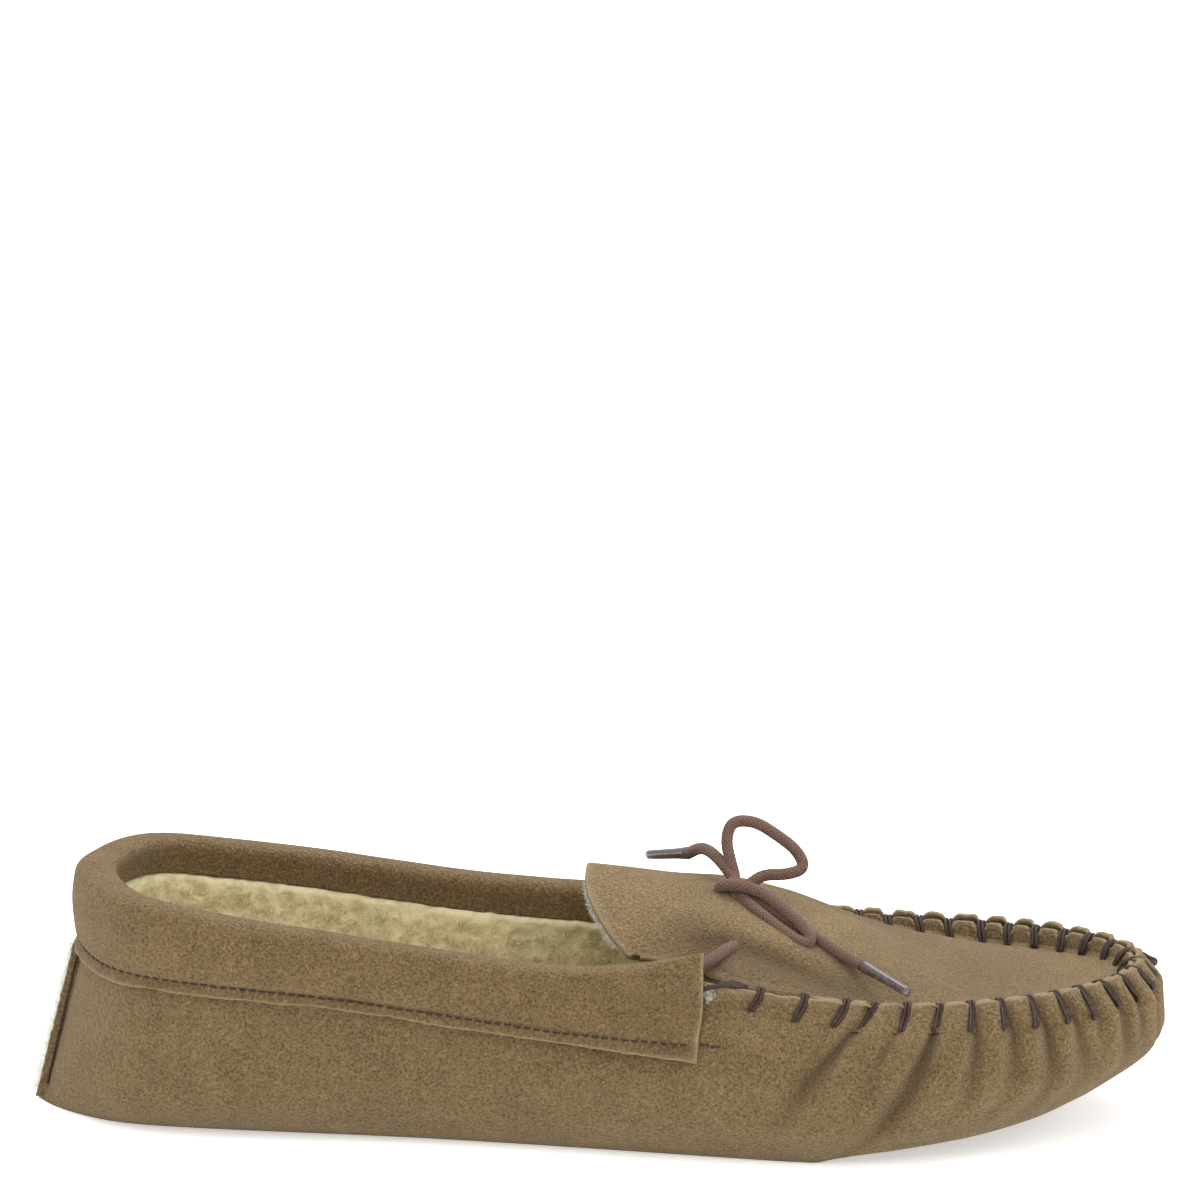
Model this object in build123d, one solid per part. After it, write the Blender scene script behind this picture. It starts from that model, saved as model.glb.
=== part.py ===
"""A soft moccasin slipper for the right foot: a suede wrap gathered to an apron, a rolled
collar with a lace in it, a fleece lining and a foam insole.

Millimetres. +X runs from the heel to the toe, +Y to the wearer's left and +Z up. The origin
is on the ground, under the middle of the box that holds the shoe without its lace.
"""

from build123d import *

import os
from math import cos, hypot, radians, sin, tan

# ---- driving dimensions -------------------------------------------------------------------
LENGTH = 290.0  # from the heel seam's foot to the tip of the toe
BALL_WIDTH = 98.0  # widest, at the ball of the foot
WAIST_WIDTH = 76.0
HEEL_WIDTH = 71.0
HEEL_HEIGHT = 66.0  # top of the collar behind the heel
RIDGE_HEIGHT = 42.0  # the gathered seam round the toe
THROAT_HEIGHT = 63.0  # top of the tongue at its free edge
RIM_DIP = 14.0  # how far the collar's rim falls from the heel to its lowest point
COLLAR_DEPTH = 22.0  # the collar's outer face, from rim to raw edge
COLLAR_FLAP = 12.0  # the part of the collar that turns down inside

SUEDE = 1.6  # leather thickness
COLLAR_SUEDE = 1.4
FLEECE = 4.5  # lining thickness, pile pressed as worn
FOAM = 4.0  # insole pad
PLY_GAP = 0.15  # clearance between plies

WHIP_THREAD = 1.3  # the two waxed strands of a whip stitch, as one round bar
WHIP_PITCH = 7.2  # from one whip stitch to the next
WHIP_BITE = 5.5  # how far below the ridge a whip stitch goes through
SEW_THREAD = 0.7
SEW_PITCH = 3.2
SEW_LENGTH = 2.3
SEW_MARGIN = 4.0  # from a raw edge to its row of stitches

LACE = 3.0  # lace diameter
AGLET = 3.2
AGLET_LENGTH = 18.5
HOLE_CLEARANCE = 0.3  # on the radius of a lace hole

FIN_WIDTH = 4.6  # the heel seam's two turned-out edges and the lining between them
FIN_TOP_SETBACK = 10.7  # how far their top stands in from the seam's foot
FIN_CORNER = 2.0  # their lower corner is cut off by this
FIN_LIFT = 1.2  # their foot clears the ground by this
HINGE_FROM_MIDDLE = 24.0  # where the tongue bends, ahead of the middle of the shoe
TONGUE_LENGTH = 28.0
TONGUE_HALF_WIDTH = 26.0
HINGE_GAP = 0.3
COLLAR_END = 27.0  # the collar's cut ends, ahead of the middle of the shoe
FLAP_END = 6.0  # the lining and the turned-down flap stop here, short of the collar's ends

# ---- proportions of the last --------------------------------------------------------------
HEEL_RUN = 30.0  # length of the round of the heel
WAIST_FROM_HEEL = 0.345  # shares of the length
LATERAL_BALL = 0.688
MEDIAL_BALL = 0.71
TOE_DRIFT = 6.5  # how far the toe leans to the inner side
TOE_FULLNESS = 2.13  # exponent of the toe's superellipse; 2 is an ellipse

# Outlines from the ground up: share of the ridge's height, how far the heel and the toe stand
# in from the ends, then the shares of the heel's, waist's and ball's widths.
BELOW_RIDGE = (
    (0.00, 8.5, 64.0, 0.60, 0.68, 0.80),
    (0.10, 6.5, 35.0, 0.80, 0.84, 0.87),
    (0.28, 7.5, 14.0, 0.94, 0.95, 0.975),
    (0.55, 10.0, 0.4, 0.98, 1.00, 1.00),
    (0.78, 12.0, 1.6, 1.00, 1.00, 0.925),
    (1.00, 13.5, 8.5, 1.00, 1.00, 0.75),
)
# The same, with the share of the height between the ridge and the top of the heel.
ABOVE_RIDGE = (
    (0.50, 14.0, 9.0, 0.98, 0.99, 0.78),
    (1.00, 16.0, 10.0, 0.94, 0.96, 0.78),
)
WAIST_POINT = 4  # place in an outline's points of the waist, where its curve starts and ends
WIDEST = 0.55  # share of the ridge's height at which the walls stand upright

BACK = -LENGTH / 2
TIP = LENGTH / 2
HINGE_X = HINGE_FROM_MIDDLE
THROAT_X = HINGE_X - TONGUE_LENGTH
RIM_LOW = HEEL_HEIGHT - RIM_DIP
LINED = SUEDE + PLY_GAP  # inset of the lining's outer face
INSIDE = LINED + FLEECE  # inset of the lining's inner face
PARTS = "parts"


def level_at(z):
    """The outline's setbacks and half-widths at a height, from the tables above."""
    rows = [(share * RIDGE_HEIGHT, *rest) for share, *rest in BELOW_RIDGE]
    rise = HEEL_HEIGHT - RIDGE_HEIGHT
    rows += [(RIDGE_HEIGHT + share * rise, *rest) for share, *rest in ABOVE_RIDGE]
    z = min(max(z, rows[0][0]), rows[-1][0])
    for low, high in zip(rows, rows[1:]):
        if z <= high[0]:
            t = (z - low[0]) / (high[0] - low[0])
            return [a + (b - a) * t for a, b in zip(low[1:], high[1:])]


def side_points(level, ball_share, sign):
    """One side of an outline, from beside the heel's back to beside the toe's tip."""
    back_in, tip_in, heel, waist, ball = level
    back, tip = BACK + back_in, TIP - tip_in
    heel_x = BACK + 10 + HEEL_RUN
    ball_x = BACK + ball_share * LENGTH
    heel_y, waist_y, ball_y = heel * HEEL_WIDTH / 2, waist * WAIST_WIDTH / 2, ball * BALL_WIDTH / 2
    points = []
    for angle in (28, 58, 90):
        t = radians(angle)
        points.append((heel_x - (heel_x - back) * cos(t), heel_y * sin(t)))
    points.append((BACK + WAIST_FROM_HEEL * LENGTH, waist_y))
    for angle in (0, 24, 44, 61, 75):
        t = radians(angle)
        along = sin(t) ** (2 / TOE_FULLNESS)
        points.append((ball_x + (tip - ball_x) * along, ball_y * cos(t) ** (2 / TOE_FULLNESS)))
    return [(x, sign * y + drift(x)) for x, y in points]


def drift(x):
    """How far the shoe's middle line leans to the inner side at x."""
    ahead = max(0.0, (x - (BACK + LATERAL_BALL * LENGTH)) / (LENGTH * (1 - LATERAL_BALL)))
    return TOE_DRIFT * ahead**2


def outline_points(z, inset):
    """Points round the last at a height, moved inwards along their normals."""
    level = level_at(z)
    tip = TIP - level[1]
    ring = [(BACK + level[0], 0.0)]
    ring += side_points(level, LATERAL_BALL, -1)
    ring.append((tip, drift(tip)))
    ring += side_points(level, MEDIAL_BALL, 1)[::-1]
    moved = []
    for i, (x, y) in enumerate(ring):
        (x0, y0), (x1, y1) = ring[i - 1], ring[(i + 1) % len(ring)]
        size = hypot(x1 - x0, y1 - y0)
        moved.append((x - inset * (y1 - y0) / size, y + inset * (x1 - x0) / size))
    return moved[WAIST_POINT:] + moved[:WAIST_POINT]


def outline_pace():
    """Distances round the widest outline, the same pace for every outline's curve."""
    ring = outline_points(WIDEST * RIDGE_HEIGHT, 0)
    ring.append(ring[0])
    pace = [0.0]
    for (x0, y0), (x1, y1) in zip(ring, ring[1:]):
        pace.append(pace[-1] + hypot(x1 - x0, y1 - y0))
    return pace


def outline_wire(z, inset, at_z=None):
    """The outline at a height as one closed wire of four curves."""
    height = z if at_z is None else at_z
    points = [(x, y, height) for x, y in outline_points(z, inset)]
    pace = outline_pace()
    ring = Edge.make_spline(points, periodic=True, parameters=pace)
    cuts = [pace[i] / pace[-1] for i in (0, 5, 10, 15, 20)]
    return Wire([ring.trim(u0, u1) for u0, u1 in zip(cuts, cuts[1:])])


def hull(inset, from_level=0):
    """The last as a solid, shrunk by inset on its sides and its sole, or grown if negative."""
    rise = HEEL_HEIGHT - RIDGE_HEIGHT
    heights = [share * RIDGE_HEIGHT for share, *_ in BELOW_RIDGE]
    heights += [RIDGE_HEIGHT + share * rise for share, *_ in ABOVE_RIDGE]
    faces = []
    for z in [*heights[from_level:], HEEL_HEIGHT + 12]:
        lift = max(0.0, inset) * max(0.0, 1 - z / (WIDEST * RIDGE_HEIGHT))
        faces.append(Face(outline_wire(z, inset, z + lift)))
    return loft(faces, ruled=True)


def side_view(low, high, half=90.0):
    """A block that fills the side view between two rows of (x, z) points, low and high."""
    outline = Polyline(*[(x, 0, z) for x, z in [*low, *high[::-1]]], close=True)
    return extrude(make_face(outline), amount=half, dir=(0, 1, 0), both=True)


def slab(x0, x1, z0, z1, half=90.0):
    """A plain block, for cutting along straight lines."""
    return Pos((x0 + x1) / 2, 0, (z0 + z1) / 2) * Box(x1 - x0, 2 * half, z1 - z0)


def spread(x0, x1, count):
    """Evenly spaced places from x0 to x1."""
    return [x0 + (x1 - x0) * i / count for i in range(count + 1)]


# Side-view lines, as (x, z) points from beyond the heel forwards.
def rim_line(drop=0.0):
    """The collar's rim."""
    return [
        (BACK - 20, HEEL_HEIGHT - drop),
        (BACK + 12, HEEL_HEIGHT - 0.8 - drop),
        (BACK + 0.235 * LENGTH, RIM_LOW + 0.48 * RIM_DIP - drop),
        (BACK + 0.41 * LENGTH, RIM_LOW + 0.03 * RIM_DIP - drop),
        (BACK + 0.48 * LENGTH, RIM_LOW - 0.05 * RIM_DIP - drop),
        (COLLAR_END, RIM_LOW + 0.15 * RIM_DIP - drop),
        (COLLAR_END + 25, RIM_LOW + 0.3 * RIM_DIP - drop),
    ]


def edge_line(raise_by=0.0):
    """The collar's raw lower edge."""
    return [
        (BACK - 20, HEEL_HEIGHT - COLLAR_DEPTH - 1.0 + raise_by),
        (BACK + 12, HEEL_HEIGHT - COLLAR_DEPTH - 2.2 + raise_by),
        (BACK + 0.235 * LENGTH, HEEL_HEIGHT - COLLAR_DEPTH - 5.2 + raise_by),
        (BACK + 0.41 * LENGTH, HEEL_HEIGHT - COLLAR_DEPTH - 10.8 + raise_by),
        (COLLAR_END, HEEL_HEIGHT - COLLAR_DEPTH - 15.4 + raise_by),
        (COLLAR_END + 25, HEEL_HEIGHT - COLLAR_DEPTH - 17.0 + raise_by),
    ]


def ridge_z(x):
    """Height of the gathered seam: it climbs a little towards the collar."""
    ahead = min(1.0, max(0.0, (x - COLLAR_END) / (0.17 * LENGTH)))
    return RIDGE_HEIGHT + 4.0 * (1 - ahead) ** 2


def wrap_line(drop=0.0):
    """The wrap's top edge: under the collar's roll, then down to the gathered seam."""
    under_roll = COLLAR_SUEDE + LACE + 3 * PLY_GAP
    ahead = [COLLAR_END + 5 + 0.14 * LENGTH * i for i in range(5)]
    return [
        *[(x, z) for x, z in rim_line(under_roll + drop)[:5]],
        (COLLAR_END - 8, ridge_z(COLLAR_END) + 0.4 - drop),
        *[(x, ridge_z(x) - drop) for x in ahead],
    ]


def crown(x):
    """Height of the apron's middle at x: high at the throat, then down on to the toes."""
    stations = (
        (THROAT_X - 12, THROAT_HEIGHT + 0.8),
        (THROAT_X, THROAT_HEIGHT),
        (HINGE_X, THROAT_HEIGHT - 2.5),
        (BACK + 0.655 * LENGTH, THROAT_HEIGHT - 7.0),
        (BACK + 0.715 * LENGTH, RIDGE_HEIGHT + 7.5),
        (BACK + 0.775 * LENGTH, RIDGE_HEIGHT + 0.0),
        (BACK + 0.845 * LENGTH, RIDGE_HEIGHT - 4.5),
        (BACK + 0.93 * LENGTH, RIDGE_HEIGHT - 5.5),
        (TIP + 20, RIDGE_HEIGHT - 5.5),
    )
    return between(stations, x)


def apron_side(x):
    """Height of the apron's surface at its sides at x."""
    stations = (
        (THROAT_X - 12, THROAT_HEIGHT - 13.0),
        (THROAT_X, THROAT_HEIGHT - 13.0),
        (HINGE_X, THROAT_HEIGHT - 16.0),
        (BACK + 0.655 * LENGTH, RIDGE_HEIGHT - 2.0),
        (BACK + 0.715 * LENGTH, RIDGE_HEIGHT - 5.0),
        (BACK + 0.775 * LENGTH, RIDGE_HEIGHT - 6.5),
        (BACK + 0.845 * LENGTH, RIDGE_HEIGHT - 7.5),
        (TIP + 20, RIDGE_HEIGHT - 7.0),
    )
    return between(stations, x)


def apron_half(x):
    """Half the apron's width at x, before the ridge's outline trims it."""
    stations = (
        (THROAT_X - 12, TONGUE_HALF_WIDTH),
        (HINGE_X - 10, TONGUE_HALF_WIDTH),
        (HINGE_X, TONGUE_HALF_WIDTH + 2.0),
        (HINGE_X + 12, BALL_WIDTH * 0.375 - 1.0),
        (BACK + 0.655 * LENGTH, BALL_WIDTH * 0.375 + 1.0),
        (TIP + 20, BALL_WIDTH * 0.375 + 1.0),
    )
    return between(stations, x)


def between(stations, x):
    """Smooth value at x through rows of (x, value)."""
    for (x0, v0), (x1, v1) in zip(stations, stations[1:]):
        if x <= x1:
            t = min(1.0, max(0.0, (x - x0) / (x1 - x0)))
            return v0 + (v1 - v0) * t * t * (3 - 2 * t) * 0.5 + (v1 - v0) * t * 0.5
    return stations[-1][1]


def vamp_z(x, y):
    """Height of the apron's top face."""
    across = min(1.0, abs(y - drift(x)) / apron_half(x))
    return apron_side(x) + (crown(x) - apron_side(x)) * (1 - across**2)


def arch(x, sink, thick):
    """A cross-section of the apron at x: a curved band, sunk below its top face."""
    half = apron_half(x)
    shares = (-1.0, -0.72, -0.36, 0.0, 0.36, 0.72, 1.0)
    top = [(x, drift(x) + s * half, vamp_z(x, drift(x) + s * half) - sink) for s in shares]
    low = [(px, py, pz - thick) for px, py, pz in top]
    over, under = Spline(*top), Spline(*low)
    return Face(Wire([over, Line(over @ 1, under @ 1), under, Line(under @ 0, over @ 0)]))


def arched(x0, x1, sink, thick, count):
    """A curved plate that follows the apron from x0 to x1."""
    return loft([arch(x0 + (x1 - x0) * i / count, sink, thick) for i in range(count + 1)])


def ridge_prism(inset, z0, z1):
    """The plan area inside the gathered seam, as an upright block."""
    face = Face(outline_wire(RIDGE_HEIGHT, inset, z0))
    return extrude(face, amount=z1 - z0, dir=(0, 0, 1))


# ---- leather ------------------------------------------------------------------------------
def heel_fin():
    """The wrap's two edges, turned out and sewn together behind the heel."""
    top = HEEL_HEIGHT - COLLAR_DEPTH - 2.4
    corners = [
        (BACK + 20, FIN_LIFT),
        (BACK + 0.6, FIN_LIFT),
        (BACK, FIN_LIFT + FIN_CORNER),
        (BACK + FIN_TOP_SETBACK, top),
        (BACK + 24, top),
    ]
    outline = Polyline(*[(x, 0, z) for x, z in corners], close=True)
    return extrude(make_face(outline), amount=FIN_WIDTH / 2, dir=(0, 1, 0), both=True)


def make_wrap():
    """Sole and sides in one piece of suede, with the heel seam's fin standing out behind."""
    below = [(BACK - 20, -5), (0, -5), (TIP + 27, -5)]
    shell = (hull(0) - hull(SUEDE)) & side_view(below, wrap_line())
    return largest(shell) + (heel_fin() - hull(SUEDE / 2))


def make_apron():
    """The apron ahead of the tongue: a dished plate with its edge turned up at the seam."""
    front = HINGE_X + HINGE_GAP
    plate = arched(front, TIP + 6, 0, SUEDE, 12) & ridge_prism(LINED, 0, 90)
    along = spread(front + 9, TIP + 10, 8)
    low = [(x, apron_side(x) - SUEDE / 2) for x in along]
    high = [(x, ridge_z(x)) for x in along]
    ring = ridge_prism(LINED, 10, 80) - ridge_prism(LINED + SUEDE, 5, 85)
    apron = plate + largest(ring & side_view(low, high))
    return largest(apron - lace_holes())


def make_tongue():
    """The apron's free end, behind the line it bends on."""
    return arched(THROAT_X, HINGE_X, 0, SUEDE, 4)


def make_collar():
    """A strip folded over the rim: a deep outer face, a short inner one and a hollow between."""
    outside, inside = -(PLY_GAP + COLLAR_SUEDE), INSIDE + PLY_GAP
    half = COLLAR_SUEDE / 2
    face = (hull(outside, 3) - hull(-PLY_GAP, 3)) & side_view(edge_line(), rim_line())
    roll = hull(outside + half, 4) - hull(inside + half, 4)
    roll = roll & side_view(rim_line(COLLAR_SUEDE), rim_line(0.2))
    flap = hull(inside, 4) - hull(inside + COLLAR_SUEDE, 4)
    flap = flap & side_view(rim_line(COLLAR_FLAP), rim_line(0.1))
    face = face & slab(BACK - 30, COLLAR_END, 0, 120)
    roll = roll & slab(BACK - 30, FLAP_END, 0, 120)
    flap = flap & slab(BACK - 30, FLAP_END - 0.2, 0, 120)
    return largest(face + roll + flap)


def largest(shape):
    """The biggest solid of a cut, without crumbs."""
    return max(shape.solids(), key=lambda s: s.volume)


# ---- lining and insole --------------------------------------------------------------------
def make_foam():
    """The insole pad that lies on the sole."""
    return hull(LINED + PLY_GAP) & slab(BACK, TIP, 0, SUEDE + PLY_GAP + FOAM)


def make_sock():
    """The fleece sock: its floor lies on the foam and its walls back the wrap."""
    floor = SUEDE + 2 * PLY_GAP + FOAM
    cavity = hull(INSIDE) & slab(BACK, TIP, floor + FLEECE, 150)
    sock = (hull(LINED) & slab(BACK, TIP, floor, 150)) - cavity
    behind = [(x, z) for x, z in wrap_line() if x < FLAP_END - 8]
    dip = (FLAP_END + 10, apron_side(HINGE_X) - SUEDE - 3.0)
    seam = [(x, apron_side(x) - SUEDE - 1.0) for x in spread(HINGE_X + 20, TIP + 12, 6)]
    low = [(BACK - 25, 0), (0, 0), (TIP + 16, 0)]
    return largest(sock & side_view(low, [*behind, dip, *seam]))


def make_vamp_lining():
    """Fleece under the apron."""
    plate = arched(HINGE_X + HINGE_GAP, TIP + 6, LINED, FLEECE, 12)
    return largest((plate & ridge_prism(INSIDE + PLY_GAP, 0, 90)) - lace_holes())


def make_tongue_lining():
    """Fleece under the tongue, a little short of its sides."""
    half = TONGUE_HALF_WIDTH - 1.5
    plate = arched(THROAT_X - 0.8, HINGE_X, LINED, FLEECE * 0.8, 4)
    return plate & slab(THROAT_X - 2, HINGE_X, 0, 90, half)


# ---- stitching ----------------------------------------------------------------------------
def stitch(place, along, length, thickness):
    """One straight stitch centred on a place."""
    plane = Plane(origin=Vector(place) - Vector(along).normalized() * (length / 2), z_dir=along)
    return extrude(Face(Wire([plane * Edge.make_circle(thickness / 2)])), amount=length, dir=plane.z_dir)


def whip_loop():
    """One whip stitch: a closed loop round the seam's two plies, upright on its own origin."""
    half = SUEDE + PLY_GAP + WHIP_THREAD / 2
    centre = RectangleRounded(2 * half, WHIP_BITE, half * 0.9)
    path = Plane.XZ * Pos(0, WHIP_THREAD / 2 + 0.2 - WHIP_BITE / 2) * centre
    wire = path.wire()
    start = wire @ 0
    section = Plane(origin=start, z_dir=wire % 0) * Circle(WHIP_THREAD / 2)
    return sweep(section, path=wire)


def make_whip_stitches():
    """Stitches over the gathered seam, from one end of the collar round the toe."""
    seam = outline_wire(RIDGE_HEIGHT, SUEDE + PLY_GAP / 2)
    count = int(seam.length / WHIP_PITCH)
    loop = whip_loop()
    made = []
    for i in range(count):
        place, way = seam.position_at(i / count), seam.tangent_at(i / count)
        if place.X < COLLAR_END + 5:
            continue
        here = Plane(
            origin=(place.X, place.Y, ridge_z(place.X)), x_dir=(way.Y, -way.X, 0), z_dir=(0, 0, 1)
        )
        made.append(here * loop)
    return Compound(made)


def make_collar_stitches():
    """The row of stitches above the collar's raw edge."""
    half = -(PLY_GAP + COLLAR_SUEDE + SEW_THREAD / 2 + 0.03)
    row = Spline(*[(x, z, 0) for x, z in edge_line(SEW_MARGIN)])
    made = []
    mid_z = HEEL_HEIGHT - COLLAR_DEPTH
    ring = outline_wire(mid_z, half)
    count = int(ring.length / SEW_PITCH)
    for i in range(count):
        u = (i + 0.5) / count
        x = ring.position_at(u).X
        if x > COLLAR_END - SEW_LENGTH:
            continue
        z = height_on(row, x)
        level = outline_wire(z, half)
        place, way = level.position_at(u), level.tangent_at(u)
        if abs(place.Y) < FIN_WIDTH and place.X < 0:
            continue
        slope = (height_on(row, x + 1) - z) * way.X
        made.append(stitch(place, (way.X, way.Y, slope), SEW_LENGTH, SEW_THREAD))
    return Compound(made)


def height_on(row, x):
    """The second coordinate of a curve in the XY plane at x."""
    low, high = 0.0, 1.0
    for _ in range(24):
        middle = (low + high) / 2
        low, high = (middle, high) if (row @ middle).X < x else (low, middle)
    return (row @ low).Y


def make_tongue_stitches():
    """The row of stitches round the tongue's free edge."""
    made = []
    x = THROAT_X + SEW_MARGIN
    count = int(2 * (TONGUE_HALF_WIDTH - 2) / SEW_PITCH)
    for i in range(count):
        y = -TONGUE_HALF_WIDTH + 2 + (i + 0.5) * 2 * (TONGUE_HALF_WIDTH - 2) / count
        rise = (vamp_z(x, y + 1) - vamp_z(x, y - 1)) / 2
        made.append(
            stitch((x, y, vamp_z(x, y) + SEW_THREAD / 2 + 0.16), (0, 1, rise), SEW_LENGTH, SEW_THREAD)
        )
    return Compound(made)


def make_heel_stitches():
    """Two rows down the heel seam, one on each side of the fin."""
    top, foot = (BACK + 12.2, HEEL_HEIGHT - COLLAR_DEPTH - 5.0), (BACK + 4.0, 5.0)
    rise = (top[0] - foot[0], 0, top[1] - foot[1])
    count = int(hypot(rise[0], rise[2]) / SEW_PITCH)
    made = []
    for side in (-1, 1):
        y = side * (FIN_WIDTH / 2 + SEW_THREAD / 2 + 0.03)
        for i in range(count):
            t = (i + 0.5) / count
            place = (foot[0] + rise[0] * t, y, foot[1] + rise[2] * t)
            made.append(stitch(place, rise, SEW_LENGTH, SEW_THREAD))
    return Compound(made)


# ---- lace ---------------------------------------------------------------------------------
# Every stretch of the lace, by hand, in the shoe's frame.
COLLAR_RUN = (
    (24.0, -35.1, 49.8),
    (0.0, -34.8, 48.7),
    (-30.0, -34.5, 49.8),
    (-62.0, -34.9, 53.8),
    (-92.0, -33.6, 57.4),
    (-111.0, -29.4, 59.6),
    (-123.0, -19.0, 61.0),
    (-127.4, 0.0, 61.5),
    (-123.0, 19.0, 61.0),
    (-111.0, 29.4, 59.6),
    (-92.0, 33.6, 57.4),
    (-62.0, 34.9, 53.8),
    (-30.0, 34.5, 49.8),
    (0.0, 34.4, 48.7),
    (24.0, 34.7, 49.8),
)
SIDE_NEAR = (
    (24.0, -35.1, 49.8),
    (29.0, -32.0, 50.6),
    (33.0, -26.5, 52.2),
    (35.6, -21.0, 52.6),
    (35.6, -14.5, 52.6),
    (34.8, -8.5, 55.2),
    (34.4, -5.0, 59.4),
)
SIDE_FAR = (
    (24.0, 34.7, 49.8),
    (29.0, 32.0, 50.6),
    (33.0, 26.5, 52.2),
    (35.6, 21.0, 52.6),
    (35.6, 14.5, 52.6),
    (34.8, 8.5, 55.2),
    (34.4, 4.0, 59.4),
)
LOOP_UP = (
    (34.0, 1.2, 63.0),
    (32.4, 4.4, 67.0),
    (31.8, 7.6, 71.4),
    (35.6, 9.8, 74.8),
    (42.6, 9.6, 72.6),
    (48.6, 8.0, 68.4),
    (50.8, 5.6, 64.9),
    (46.2, 3.2, 63.6),
    (40.6, 1.0, 63.0),
    (36.2, -0.6, 61.8),
)
LOOP_NEAR = (
    (34.6, -3.6, 63.6),
    (40.8, -5.2, 61.9),
    (48.9, -12.0, 58.4),
    (53.0, -14.9, 55.2),
    (53.8, -17.6, 52.3),
    (49.6, -17.2, 53.9),
    (43.6, -13.4, 56.7),
    (38.0, -8.8, 59.4),
    (35.0, -4.2, 61.4),
)
END_NEAR = (
    (36.6, -3.4, 60.8),
    (42.0, -7.0, 58.4),
    (48.9, -11.6, 55.2),
    (56.0, -14.6, 52.0),
    (62.6, -18.4, 49.2),
    (67.6, -22.6, 48.2),
)
AGLET_NEAR_TIP = (79.5, -36.0, 45.6)
END_FAR = (
    (33.4, 1.0, 64.0),
    (29.8, 5.0, 66.2),
    (26.4, 10.0, 67.0),
    (23.4, 16.4, 65.4),
    (21.2, 22.2, 62.4),
)
AGLET_FAR_TIP = (13.0, 36.6, 54.6)
KNOT = (34.6, -1.6, 61.6)
KNOT_SIZE = (8.6, 11.0, 7.6)


def tube(points, diameter, name=None):
    """A lace's tube: straight runs joined by arcs as large as the runs allow."""
    p = [Vector(*q) for q in points]
    radii = []
    for before, here, after in zip(p, p[1:], p[2:]):
        half_turn = radians((here - before).get_angle(after - here)) / 2
        radii.append(0.45 * min((here - before).length, (after - here).length) / tan(half_turn))
    path = FilletPolyline(*p, radius=radii)
    if name:
        print(name, f"{path.length:.1f} mm, radii", " ".join(f"{r:.1f}" for r in radii))
    return sweep(Plane(origin=p[0], z_dir=p[1] - p[0]) * Circle(diameter / 2), path=path)


def lace_holes():
    """The room the lace takes where it goes through the apron and its lining."""
    wide = LACE + 2 * HOLE_CLEARANCE
    return tube(SIDE_NEAR, wide) + tube(SIDE_FAR, wide)


def make_aglet(points, tip):
    """A clear sleeve crimped on the lace's last millimetres."""
    start, end = Vector(*points[-1]), Vector(*tip)
    way = (end - start).normalized()
    bar = extrude(Plane(origin=start, z_dir=way) * Circle(AGLET / 2), amount=AGLET_LENGTH, dir=way)
    return chamfer(bar.faces().sort_by(Axis(start, way))[-1].edges(), AGLET * 0.12)


def make_knot():
    """The bow's knot, as the closed outer shape of its turns."""
    return Pos(*KNOT) * scale(Sphere(0.5), by=KNOT_SIZE)


def parts():
    """Every node of the shoe, by name."""
    return {
        "wrap_upper": make_wrap(),
        "vamp_apron": make_apron(),
        "tongue_flap": make_tongue(),
        "collar_cuff": make_collar(),
        "sock_lining": make_sock(),
        "vamp_lining": make_vamp_lining(),
        "tongue_lining": make_tongue_lining(),
        "foam_insole": make_foam(),
        "toe_whip_stitches": make_whip_stitches(),
        "collar_topstitching": make_collar_stitches(),
        "tongue_topstitching": make_tongue_stitches(),
        "heel_seam_stitching": make_heel_stitches(),
        "lace_collar_run": tube(COLLAR_RUN, LACE, "lace_collar_run"),
        "lace_side_near": tube(SIDE_NEAR, LACE, "lace_side_near"),
        "lace_side_far": tube(SIDE_FAR, LACE, "lace_side_far"),
        "bow_loop_up": tube(LOOP_UP, LACE, "bow_loop_up"),
        "bow_loop_near": tube(LOOP_NEAR, LACE, "bow_loop_near"),
        "lace_end_near": tube(END_NEAR, LACE, "lace_end_near"),
        "lace_end_far": tube(END_FAR, LACE, "lace_end_far"),
        "bow_knot": make_knot(),
        "aglet_near": make_aglet(END_NEAR, AGLET_NEAR_TIP),
        "aglet_far": make_aglet(END_FAR, AGLET_FAR_TIP),
    }


os.makedirs(PARTS, exist_ok=True)
for node, solid in parts().items():
    export_step(solid, f"{PARTS}/{node}.step")
    print(node, f"{solid.volume:.0f} mm3")
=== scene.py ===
# %% [markdown]
# # A suede moccasin slipper
# This lesson builds a soft right-foot slipper from its leather pieces outwards: the wrap that
# is sole and sides in one, the apron with its tongue, the rolled collar, the fleece lining,
# the hand stitches round the toe and the tied lace. Sizes are written in millimetres; the
# helpers turn them into Blender's metres.

# %% Start
import math

import bmesh
import bpy
import numpy as np
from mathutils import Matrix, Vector, noise


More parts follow.
